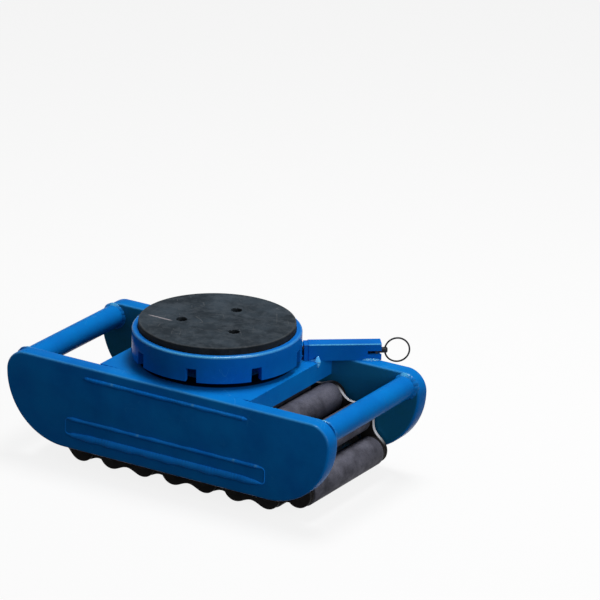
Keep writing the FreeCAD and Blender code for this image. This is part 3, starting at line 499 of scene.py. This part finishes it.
# %% Beam finish
beam_finish, tree, shader = new_material("beam_finish", 0.0, 0.01)
skin = use_group(tree, skin_group)
dirt = use_group(tree, dirt_group, {"Scale": 36.0})
across = distance(tree, coordinate(tree, object_spot(tree), "Y"))
inside = sums(tree, "LESS_THAN", across, inner_half)
steel = blend(tree, dirt["Mask"], coloured(128, 124, 122), coloured(70, 62, 58))
paint = blend(tree, skin["Cloud"], *frame_tones)
rough = span(tree, dirt["Mask"], 0.0, 1.0, 0.25, 0.5)
tree.links.new(inside, shader.inputs["Metallic"])
finish_with(tree, shader, blend(tree, inside, paint, steel), rough, skin["Height"], 0.1 * MM)

# %% Give every solid its finish
finishes = {
    "blue_paint": blue_enamel,
    "weld_paint": weld_enamel,
    "beam_paint": beam_finish,
    "roller_steel": roller_steel,
    "link_steel": link_plate,
    "bearing_bronze": bearing_bronze,
    "bright_steel": turned_steel,
    "spring_steel": dark_steel,
    "pad_rubber": pad_rubber,
    "screw_steel": dark_steel,
    "ring_steel": wire_steel,
}
own_finish = {
    "top_plate": plate_enamel,
    "lock_housing": lock_enamel,
    "lock_plunger": dark_steel,
    "plunger_cross_pin": dark_steel,
}
for part in frame["record"]["subparts"]:
    solid = nodes[part["node"]]
    solid.data.materials.clear()
    solid.data.materials.append(own_finish.get(part["node"], finishes[part["material_slot"]]))
print("finishes on", len(nodes), "solids")

# %% [markdown]
# ## Cheeks
# Each cheek is flame cut from thick plate, with large rounded lower corners, small upper ones and broken
# edges. An extruded curve could make it, but a ring that draws in along a quarter circle near each face
# gives the rounded edge and its edge mask together. The mask is worn paint and a painted highlight,
# strongest on the upper edges, and it fades downwards.


# %% Cheek plates
def cheek_outline(top_radius):
    """Four arcs in turn: the two large lower corners and the two small upper ones."""
    low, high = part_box("cheek_near")
    low_radius = high.z - low.z - top_radius
    waist = high.z - top_radius
    return arc_outline([
        (low.x + low_radius, waist, low_radius, 180, 270),
        (high.x - low_radius, waist, low_radius, 270, 360),
        (high.x - top_radius, waist, top_radius, 0, 90),
        (low.x + top_radius, waist, top_radius, 90, 180),
    ])


outline, outward = cheek_outline(22 * MM)
paint_film, cheek_edge = 0.06 * MM, 2.4 * MM
for side in ("near", "far"):
    low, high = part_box(f"cheek_{side}")
    near_film, far_film = (paint_film, 0.0) if side == "near" else (0.0, paint_film)
    points, looped, edge_mask = rounded_plate(outline, outward, low.y - near_film, high.y + far_film, cheek_edge)
    # Painted highlight: the edge mask fades as the outline turns downwards.
    shell = points, looped, edge_mask * np.clip(outward[:, 1], 0, 1)
    make_piece(f"cheek_plate_{side}", [shell], cheek_enamel, "frame", [f"cheek_{side}"])

# %% [markdown]
# ## Tie bars
# Round bars join the cheeks at both ends and serve as handles. They are plain turned surfaces laid across.


# %% Bars
def laid(points):
    """A surface turned about Z and laid along Y: y and z change places."""
    return points[..., [0, 2, 1]]


def bar_middle(low, high):
    """The middle of a bar's box in X and Z, at zero in Y."""
    return np.array([(low.x + high.x) / 2, 0.0, (low.z + high.z) / 2])


for side in ("left", "right"):
    low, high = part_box(f"tie_bar_{side}")
    radius = (high.z - low.z) / 2
    profile = [(radius, y) for y in np.linspace(low.y, high.y, 12)]
    bar = laid(turned(profile, 64)) + bar_middle(low, high), False, 0.0
    make_piece(f"handle_bar_{side}", [bar], blue_enamel, "frame", [f"tie_bar_{side}"])

# %% [markdown]
# ## Weld beads
# A weld bead is a rounded ridge with ripples, one for each pause of the torch. Its profile is an ellipse
# half sunk in the plate and carried along the seam. Its width and height swell and shrink with the distance
# travelled.

# %% Bead along a path
BEAD_STEP = 0.5 * MM
BEAD_SIDES = 16


def travelled(points):
    """The distance travelled along a polyline at each of its points."""
    gaps = np.linalg.norm(np.diff(points, axis=0), axis=1)
    return np.concatenate([[0], np.cumsum(gaps)])


def bead(path, out, width, height, pitch, looped, phase, lumps, edge_mask, painted_glints=0.0):
    """An ellipse carried along a path: it spans the width across the seam and the height out of the plate,
    half sunk, and both swell with the sine of the distance. Open beads taper at their ends. Painted glints
    say how much painted glint the upper flank takes at each point."""
    out = np.broadcast_to(np.asarray(out, float), path.shape)
    step = np.roll(path, -1, 0) - np.roll(path, 1, 0)
    if not looped:
        step[0], step[-1] = path[1] - path[0], path[-1] - path[-2]
    across = np.cross(step / np.linalg.norm(step, axis=1, keepdims=True), out)
    travel = travelled(path)
    ripple = np.abs(np.sin(np.pi * travel / pitch + phase + np.sin(travel / pitch * 0.61)))
    wander = np.sin(travel / pitch * 0.37 + phase) + np.sin(travel / pitch * 0.83 + 2 * phase)
    wide = width / 2 * (0.92 + 0.08 * ripple + 0.06 * wander)
    tall = height * (0.84 + lumps * ripple + 0.06 * wander)
    if not looped:
        taper = np.clip(np.minimum(travel, travel[-1] - travel) / np.max(width), 0.02, 1) ** 0.5
        wide, tall = wide * taper, tall * taper
    turn = np.linspace(0, 2 * np.pi, BEAD_SIDES, endpoint=False)
    sideways = wide[:, None, None] * np.cos(turn)[None, :, None] * across[:, None]
    outwards = tall[:, None, None] * np.sin(turn)[None, :, None] * out[:, None]
    shift = 0.04 * (wide * wander)[:, None, None] * across[:, None]
    upper = (np.sin(turn) * (1 + out[:, 2:]) + np.cos(turn) * across[:, 2:]) / math.sqrt(2)
    spots = np.broadcast_to(painted_glints, len(path))[:, None] * np.clip(upper, 0, 1) ** 4
    return path[:, None] + sideways + outwards + shift, looped, np.maximum(edge_mask, spots)


def resample(points, spacing, looped):
    """Points evenly spaced along a polyline."""
    if looped:
        points = np.concatenate([points, points[:1]])
    travel = travelled(points)
    count = max(int(travel[-1] / spacing), 8)
    even = np.linspace(0, travel[-1], count, endpoint=not looped)
    return np.stack([np.interp(even, travel, points[:, i]) for i in range(points.shape[1])], -1)


def straight(first, last, spacing=BEAD_STEP):
    """Points evenly spaced from one end to the other."""
    return resample(np.array([first, last]), spacing, False)


# %% Seam round the beam's tongue
def tongue_seam(corner, sag):
    """The seam round the tongue's end: a long box with small round corners, half a bead's width inside the
    solid bead. Its upper run has sagged a little."""
    inset = 2 * MM + corner
    low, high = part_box("beam_welds")
    left, right, bottom, top = low.x + inset, high.x - inset, low.z + inset, high.z - inset - sag
    seam, _ = arc_outline([
        (left, bottom, corner, 180, 270),
        (right, bottom, corner, 270, 360),
        (right, top, corner, 0, 90),
        (left, top, corner, 90, 180),
    ], 8)
    return resample(seam, BEAD_STEP, True)


def seam_size(x, z):
    """Width and height along the seam. The lower run swells with the square of the way down, clear of the
    ends. Both shrink in a straight line towards the ends, and most at the left one."""
    top, bottom = z.max(), z.min()
    to_end = x.max() - np.abs(x)
    lower = ((top - z) / (top - bottom)) ** 2 * np.clip((to_end - 6 * MM) / (22 * MM), 0, 1)
    thin = np.where(x < 0, 0.15, 0.3)
    full = thin + (1 - thin) * np.clip(to_end / (9 * MM), 0, 1)
    return (3.8 + 4.2 * lower) * full * MM, (2.1 + 0.5 * lower) * full * MM


def glints(x, places):
    """Painted glints along a bead: a bell 1.4 mm wide at each place, and their sum between."""
    return np.sum([np.exp(-((x - spot) / (1.4 * MM)) ** 2) for spot in places], 0)


# %% Beads on the cheeks' outer faces
seam_x, seam_z = tongue_seam(4 * MM, 2 * MM).T
seam_width, seam_height = seam_size(seam_x, seam_z)
upper_run = seam_z > (seam_z.max() + seam_z.min()) / 2
# Painted glints on the seam's upper run and on the line beads.
seam_glints = glints(seam_x, (-31 * MM, 83 * MM, 109 * MM)) * upper_run
low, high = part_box("plate_welds")
line_z = (low.z + high.z) / 2
seam_beads, line_beads = [], []
for sign, side in ((-1, "near"), (1, "far")):
    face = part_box(f"cheek_{side}")[0 if sign < 0 else 1].y
    out = (0.0, sign, 0.0)
    path = np.stack([seam_x, np.full(len(seam_x), face), seam_z], -1)
    seam_beads.append(bead(path, out, seam_width, seam_height, 3.1 * MM, looped=True,
                           phase=0.4 * sign, lumps=0.08, edge_mask=0.0, painted_glints=seam_glints))
    path = straight((low.x, face, line_z), (high.x, face, line_z))
    line_glints = glints(path[:, 0], (-62 * MM, 34 * MM))
    line_beads.append(bead(path, out, 4.4 * MM, 2.2 * MM, 3.4 * MM, looped=False,
                           phase=1.1 * sign, lumps=0.12, edge_mask=0.0, painted_glints=line_glints))
make_piece("seam_beads", seam_beads, weld_enamel, "frame", ["beam_welds"])
make_piece("line_beads", line_beads, weld_enamel, "frame", ["plate_welds"])

# %% Beads round the bar ends
turn = np.linspace(0, 2 * np.pi, 150, endpoint=False)
ray = np.stack([np.cos(turn), np.zeros(len(turn)), np.sin(turn)], -1)
# Painted glint on the top of each bar bead.
top_glint = 0.05 + 0.95 * np.clip(np.sin(turn), 0, 1)[:, None] ** 16
sunk, clear = 0.2 * MM, 0.3 * MM
bar_beads = []
for side in ("left", "right"):
    low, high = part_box(f"tie_bar_{side}")
    radius = (high.z - low.z) / 2 - sunk
    for face, inward in ((low.y, 1.0), (high.y, -1.0)):
        path = bar_middle(low, high) + radius * ray + np.array([0.0, face + clear * inward, 0.0])
        lean = (ray + np.array([0.0, inward, 0.0])) / math.sqrt(2)
        bar_beads.append(bead(path, lean, 7.4 * MM, 1.7 * MM, 5.3 * MM, looped=True,
                              phase=0.7 * inward + 9 * low.x, lumps=0.3, edge_mask=top_glint))
make_piece("bar_beads", bar_beads, fillet_enamel, "frame")

# %% Beads along the lock housing
cheek_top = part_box("cheek_far")[1].z
plate_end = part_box("top_plate")[1].x
housing_half = 8 * MM
housing_beads = []
# Painted highlight: every housing bead and the lump take the full edge mask, so the weld enamel pales them.
for side, first, last in ((-1, 94, 104), (-1, 147, 165), (1, 94, 144)):
    ends = [along * reach * MM + aside * side * housing_half + upward * cheek_top for reach in (first, last)]
    lean = (aside * side + upward) / math.sqrt(2)
    housing_beads.append(bead(straight(*ends), lean, 4.6 * MM, 1.6 * MM, 3.7 * MM, looped=False,
                              phase=0.3 * first, lumps=0.2, edge_mask=1.0))
lump_from = plate_end - 2.6 * MM, 54.3 * MM, cheek_top + 5.6 * MM
lump_to = plate_end + 0.9 * MM, 49.4 * MM, cheek_top - 4.6 * MM
lean = (upward * 0.4 - aside) / math.hypot(0.4, 1)
housing_beads.append(bead(straight(lump_from, lump_to), lean, 6.8 * MM, 2.6 * MM, 3 * MM, looped=False,
                          phase=0.0, lumps=0.1, edge_mask=1.0))
make_piece("housing_beads", housing_beads, weld_enamel, "frame")

# %% Flush welds between top plate and cheeks
low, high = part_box("top_plate")
weld_z = high.z - 2.2 * MM
flush_welds = []
for face in (low.y, high.y):
    path = straight((low.x, face, weld_z), (high.x, face, weld_z), 1 * MM)
    flush_welds.append(bead(path, upward, 11 * MM, 2.3 * MM, 6 * MM, looped=False,
                            phase=20 * face, lumps=0.1, edge_mask=0.0))
make_piece("flush_welds", flush_welds, blue_enamel, "frame")

# %% [markdown]
# ## Roller chain
# Every roller turns on a pin between link plates. The rollers have broken end edges, and the link plates
# are waisted between their two holes. A link's outline is one formula: a half circle round each hole, and
# between them a height that dips with the square of a sine.


# %% Rollers
def mirrored(upper):
    """An upper half profile of (radius, height) and its mirror image. A row at zero height is kept once."""
    return upper + [(radius, -height) for radius, height in upper[::-1] if height]


bore, edge, dish, land = 7 * MM, 1.1 * MM, 0.8 * MM, 3 * MM
axes = []
for name in sorted(name for name in nodes if name.startswith("roller_")):
    low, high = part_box(name)
    middle = np.array((low + high) / 2)
    axes.append(middle)
    radius, half = (high.z - low.z) / 2, (high.y - low.y) / 2
    profile = mirrored([
        (bore, half - dish),
        (radius - land, half),
        (radius - edge, half),
        (radius - 0.3 * edge, half - 0.3 * edge),
        (radius, half - edge),
        (radius, half / 2),
        (radius, 0),
    ])
    body = laid(turned(profile, 72)) + middle
    make_piece(f"{name}_body", [(body, False, 0.0)], roller_steel, name, [name])
axes = np.array(axes)


# %% Outline of a link
def link_outline(pitch, radius, waist, steps=40):
    """Half circles round the two holes, and between them a half height of the radius less the waist's dip
    times the square of the sine of the way along."""
    left = np.radians(np.linspace(90, 270, steps))
    right = np.radians(np.linspace(-90, 90, steps))
    way = np.linspace(0, 1, 22)[1:-1]
    dip = radius - waist * np.sin(np.pi * way) ** 2
    points = np.concatenate([
        radius * np.stack([np.cos(left), np.sin(left)], -1),
        np.stack([pitch * way, -dip], -1),
        radius * np.stack([np.cos(right), np.sin(right)], -1) + [pitch, 0],
        np.stack([pitch * way[::-1], dip], -1),
    ])
    step = np.roll(points, -1, 0) - np.roll(points, 1, 0)
    outward = np.stack([step[:, 1], -step[:, 0]], -1)
    return points, outward / np.linalg.norm(outward, axis=1, keepdims=True)


pitch = np.linalg.norm(axes[1] - axes[0])
outline, outward = link_outline(pitch, 14.5 * MM, 5.5 * MM)


# %% Link plates
def link_shell(low, high):
    """A link plate with broken edges. Its rim is bright in the waist, worn and with a painted highlight: the
    mask falls off with the fourth power of the distance from the middle. Its faces and round ends stay black
    with oil."""
    points, looped, _ = rounded_plate(outline, outward, low, high, 0.7 * MM, 3)
    rim = np.ones((len(points), 1))
    rim[[0, -1]] = 0
    return points, looped, rim * np.exp(-((outline[:, 0] / pitch - 0.5) / 0.36) ** 4)


def on_links(shell, first):
    """A shell made at the origin, turned about Y to lie from each second roller to the next one."""
    points, looped, edge = shell
    here = axes[first:-1:2]
    ahead = axes[1:][first::2] - here
    angle = np.arctan2(ahead[:, 2], ahead[:, 0])
    placed = []
    for hole, turn in zip(here, angle):
        x = points[..., 0] * np.cos(turn) - points[..., 2] * np.sin(turn)
        z = points[..., 0] * np.sin(turn) + points[..., 2] * np.cos(turn)
        placed.append((np.stack([x, points[..., 1], z], -1) + hole, looped, edge))
    return placed


for name in ("inner_links_near", "inner_links_far"):
    low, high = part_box(name)
    plates = on_links(link_shell(low.y, high.y), 1)
    make_piece(f"{name}_plates", plates, link_plate, "frame", [name])
low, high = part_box("outer_links")
thickness = 4 * MM
plates = []
for near in (low.y, high.y - thickness):
    plates += on_links(link_shell(near, near + thickness), 0)
make_piece("outer_link_plates", plates, link_plate, "frame", ["outer_links"])

# %% Pins with riveted heads
pin_radius, pin_half = 6 * MM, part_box("chain_pins")[1].y
rivet = [(0.4, 0.0), (0.75, 0.25), (1.0, 0.75), (1.0, 1.6)]
pin = laid(turned(mirrored([(pin_radius * share, pin_half - down * MM) for share, down in rivet]), 32))
pins = [(pin + axis, False, 0.0) for axis in axes]
make_piece("chain_rivets", pins, link_plate, "frame", ["chain_pins"])

# %% [markdown]
# ## Turntable cup
# The cup is turned from one piece: a disc with a rim above, a skirt below and a hub in the middle. Notches
# and two lock seats are cut up into the skirt. A boolean could cut them, but here the skirt's lower edge is
# a height that depends on the angle, so the notches are part of the same closed surface.

# %% Sizes of the cup
low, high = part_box("turntable_cup")
cup_radius, cup_low, cup_top = high.x, low.z, high.z
recess_radius = cup_radius - 6 * MM
bore_radius, pocket_radius, hub_radius = 18.1 * MM, 25 * MM, 28 * MM
skirt_low, disc_under = cheek_top + 6.5 * MM, cheek_top + 21 * MM
pocket_floor, disc_top = cheek_top + 23 * MM, cheek_top + 29 * MM


def half_angle(width):
    """Half the angle in degrees that a width spans on the cup's wall."""
    return math.degrees(math.asin(width / 2 / cup_radius))


# %% Lower edge of the skirt
notches = [(15 + 45 * i, half_angle(11 * MM), disc_under - 0.6 * MM) for i in range(8)]
seats = [(angle, half_angle(10.6 * MM), cheek_top + 13.3 * MM) for angle in (37.5, 217.5)]
flank = 0.25
columns = [np.arange(0, 360, 1.5)]
for angle, half, _ in notches + seats:
    columns.append(angle + np.array([-half - flank, -half, half, half + flank]))
turn = np.unique(np.concatenate(columns) % 360)
lip = np.full(len(turn), skirt_low)
for angle, half, top in notches + seats:
    inside = np.abs((turn - angle + 180) % 360 - 180) < half + flank / 2
    lip[inside] = np.maximum(lip[inside], top)
print("cup", len(turn), "columns")


# %% Cup
def cup_surface(turn, lip):
    """Rows follow the cup's section round from the skirt's inner wall, and columns follow the angle. Rows on
    the lower edge stand on the lip's height at that angle, and the rim's edge is a quarter circle. It
    carries a painted highlight, brightest on one side, with the square of a cosine."""
    rim, brk, highlight_side = 2.4 * MM, 0.4 * MM, math.radians(-62)
    quarter = np.linspace(0, np.pi / 2, 6)
    edge_rows = np.stack([
        cup_radius - rim + rim * np.cos(quarter),
        cup_top - rim + rim * np.sin(quarter),
        np.zeros(len(quarter)),
        np.sin(2 * quarter) + 0.1 * np.sin(quarter),
    ], -1)
    section = np.array([
        (recess_radius, disc_under, 0, 0),
        (recess_radius, brk, 1, 0),
        (recess_radius + brk, 0, 1, 0),
        (cup_radius - brk, 0, 1, 0),
        (cup_radius, brk, 1, 0),
        (cup_radius, disc_under + 1 * MM, 0, 0),
        *edge_rows,
        (recess_radius + brk, cup_top, 0, 0.1),
        (recess_radius, cup_top - brk, 0, 0.1),
        (recess_radius, disc_top, 0, 0),
        (pocket_radius, disc_top, 0, 0),
        (pocket_radius, pocket_floor, 0, 0),
        (bore_radius, pocket_floor, 0, 0),
        (bore_radius, cup_low, 0, 0),
        (hub_radius, cup_low, 0, 0),
        (hub_radius, disc_under, 0, 0),
    ])
    radius, height, on_lip, edge_mask = section.T
    angle = np.radians(turn)
    z = height[:, None] + on_lip[:, None] * lip
    points = np.stack([radius[:, None] * np.cos(angle), radius[:, None] * np.sin(angle), z], -1)
    # Painted highlight on the rim, brightest on one side.
    one_side = 0.3 + 0.7 * np.clip(np.cos(angle - highlight_side), 0, 1) ** 2
    return points, True, edge_mask[:, None] * one_side


make_piece("swivel_cup", [cup_surface(turn, lip)], cup_enamel, "turntable", ["turntable_cup"])

# %% [markdown]
# ## Rubber pad
# The pad is a thick moulded disc with a soft edge. Three screws hold it, each at the bottom of a well. The
# pad is one polar sheet: its face sinks near each screw, rolls over the edge and closes underneath.


# %% Pad
def pad_surface(radius, low, high, edge, wells, well_radius, well_depth):
    """Rows run from the middle out over the face, round a quarter circle, down the wall and back under. The
    face sinks by the well's depth times a smooth step of the distance to the nearest well, and by a slow
    product of sines that dies away towards the edge."""
    turn = np.linspace(0, 2 * np.pi, 360, endpoint=False)
    quarter = np.linspace(0, np.pi / 2, 7)[1:]
    face_rows, flat = 96, radius - edge
    middle, under, well_wall, wave_depth = 0.3 * MM, 0.5 * MM, 0.8 * MM, 0.25 * MM
    reach = np.concatenate([
        np.linspace(middle, flat, face_rows),
        flat + edge * np.sin(quarter),
        [radius, radius - under, middle],
    ])
    level = np.concatenate([
        np.full(face_rows, high),
        high - edge + edge * np.cos(quarter),
        [low + under, low, low],
    ])
    x, y = reach[:, None] * np.cos(turn), reach[:, None] * np.sin(turn)
    away = np.min([np.hypot(x - well[0], y - well[1]) for well in wells], 0)
    step = np.clip((well_radius - away) / well_wall + 0.5, 0, 1)
    calm = np.clip(1 - (reach / flat) ** 6, 0, 1)[:, None]
    wave = (1 + np.sin(x * 95 + 1) * np.sin(y * 120 + 2)) / 2 * calm
    on_face = (np.arange(len(reach)) < face_rows)[:, None]
    z = level[:, None] - on_face * (well_depth * step**2 * (3 - 2 * step) + wave_depth * wave)
    edge_mask = np.zeros(len(reach))
    edge_mask[face_rows - 1:face_rows + 4] = 1
    return np.stack([x, y, z], -1), False, edge_mask[:, None]


low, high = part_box("rubber_pad")
screw_circle, screw_turns = 36 * MM, np.radians([90, 210, 330])
wells = screw_circle * np.stack([np.cos(screw_turns), np.sin(screw_turns)], -1)
pad = pad_surface(high.x, low.z, high.z, 1.4 * MM, wells, 5.05 * MM, 8.2 * MM)
make_piece("pad_sheet", [pad], pad_rubber, "turntable", ["rubber_pad"])

# %% [markdown]
# ## Plunger spring
# A coil spring pushes the plunger towards the cup. It shows in the housing's slot. One end bears on the
# plunger's collar and the other on the plug. It is made free of both bodies, in place.

# %% Spring
low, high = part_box("lock_spring")
coil, wire, turns = (high.z - low.z) / 2, 0.7 * MM, 7
inner = (low.x + coil * along[1]) / along[0] + 0.2 * MM
outer = (high.x - coil * along[1]) / along[0] - 0.2 * MM
lift = (low.z + high.z) / 2


def spring_surface(inner, outer, lift):
    """A circle of wire carried along a helix: the angle and the distance from the swivel grow evenly."""
    way = np.linspace(0, 1, turns * 32)[:, None]
    ray = aside * np.cos(2 * np.pi * turns * way) + upward * np.sin(2 * np.pi * turns * way)
    line = along * (inner + wire + (outer - inner - 2 * wire) * way) + upward * lift + (coil - wire) * ray
    around = np.linspace(0, 2 * np.pi, 10, endpoint=False)[None, :, None]
    return line[:, None] + wire * (np.cos(around) * ray[:, None] + np.sin(around) * along), False, 0.0


coiled = spring_surface(inner, outer, lift)
spring = make_piece("plunger_spring", [coiled], dark_steel, None, ["lock_spring"])
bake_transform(spring)
print("spring length", round((outer - inner) / MM, 1), "mm")

# %% [markdown]
# ## Pull ring
# A thin wire ring hangs in the plunger's tail. It is a torus: a small circle carried round a large one, in
# the upright plane that holds the lock's radius.

# %% Ring
low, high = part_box("pull_ring")
centre = np.array((low + high) / 2)
ring_turn = math.atan2(centre[1], centre[0])
wire = 0.9 * MM
mean = (high.z - low.z) / 2 - wire
big = np.linspace(0, 2 * np.pi, 72, endpoint=False)[:, None]
small = np.linspace(0, 2 * np.pi, 14, endpoint=False)[None, :]
reach = (mean + wire * np.cos(small)) * np.cos(big)
lift = (mean + wire * np.cos(small)) * np.sin(big)
depth = wire * np.sin(small) + 0 * big
x = reach * math.cos(ring_turn) - depth * math.sin(ring_turn)
y = reach * math.sin(ring_turn) + depth * math.cos(ring_turn)
loop = np.stack([x, y, lift], -1) + centre
make_piece("pull_ring_wire", [(loop, True, 0.0)], wire_steel, "ring", ["pull_ring"])

# %% [markdown]
# ## Floor, light and camera
# The photograph is a studio shot on white. A soft lamp hangs overhead, a weaker one stands at the right, and
# the world adds a little. The floor is white to the eye and in reflections, and dark for light that bounces,
# so the cheeks stay deep blue. The camera stands where the outline of the object fits best.

# %% Floor
far = 40
corners = [(-far, -far, 0), (far, -far, 0), (far, far, 0), (-far, far, 0)]
floor_mesh = bpy.data.meshes.new("floor")
floor_mesh.from_pydata(corners, [], [(0, 1, 2, 3)])
floor = bpy.data.objects.new("floor", floor_mesh)
bpy.context.scene.collection.objects.link(floor)
floor_paper = bpy.data.materials.new("floor_paper")
floor_paper.use_nodes = True
tree = floor_paper.node_tree
tree.nodes.remove(tree.nodes["Principled BSDF"])
rays = place(tree, "LightPath").outputs
mirrored_rays = sums(tree, "ADD", rays["Is Glossy Ray"], rays["Is Transmission Ray"])
seen = sums(tree, "ADD", rays["Is Camera Ray"], mirrored_rays)
dark, pale = (0.05, 0.05, 0.05, 1), (0.9, 0.9, 0.9, 1)
paper = place(tree, "BsdfDiffuse", {"Color": blend(tree, seen, dark, pale)}).outputs[0]
white = place(tree, "Emission", {"Strength": 1.0}).outputs[0]
lit = place(tree, "MixShader", {0: times(tree, seen, 0.85), 1: paper, 2: white}).outputs[0]
tree.links.new(lit, tree.nodes["Material Output"].inputs["Surface"])
floor_mesh.materials.append(floor_paper)


# %% Lamps and world
def lamp(name, place_at, target, size, power):
    """A square soft lamp that faces a point."""
    light = bpy.data.lights.new(name, "AREA")
    light.shape = "SQUARE"
    light.size = size
    light.energy = power
    made = bpy.data.objects.new(name, light)
    made.location = place_at
    made.rotation_euler = (Vector(target) - Vector(place_at)).to_track_quat("-Z", "Y").to_euler()
    bpy.context.scene.collection.objects.link(made)
    print(name, power, "W")


middle = (0.0, 0.0, 0.08)
lamp("overhead", (0.1, 0.3, 1.55), middle, size=0.6, power=17.0)
lamp("right_fill", (2.2, -0.5, 1.0), middle, size=1.0, power=16.0)
world = bpy.data.worlds.new("studio")
bpy.context.scene.world = world
world.use_nodes = True
sky = world.node_tree.nodes["Background"].inputs
sky["Color"].default_value = (1, 1, 1, 1)
sky["Strength"].default_value = 0.215

# %% Camera
azimuth, elevation, roll = math.radians(31.11), math.radians(20.26), math.radians(1.53)
eye = Vector((2.53033, -4.03319, 1.93639))
level = math.cos(elevation)
back = Vector((math.sin(azimuth) * level, -math.cos(azimuth) * level, math.sin(elevation)))
right = back.cross(Vector((0, 0, 1))).normalized() * -1
up = back.cross(right)
right, up = math.cos(roll) * right + math.sin(roll) * up, -math.sin(roll) * right + math.cos(roll) * up
camera_data = bpy.data.cameras.new("camera")
camera_data.lens = 303.13
camera_data.sensor_width = 36.0
camera_data.clip_end = 50.0
camera = bpy.data.objects.new("camera", camera_data)
camera.matrix_world = Matrix((
    (right.x, up.x, back.x, eye.x),
    (right.y, up.y, back.y, eye.y),
    (right.z, up.z, back.z, eye.z),
    (0, 0, 0, 1),
))
bpy.context.scene.collection.objects.link(camera)
bpy.context.scene.camera = camera
bpy.context.scene.view_settings.view_transform = "Standard"
print("camera", round(eye.length, 2), "m away")
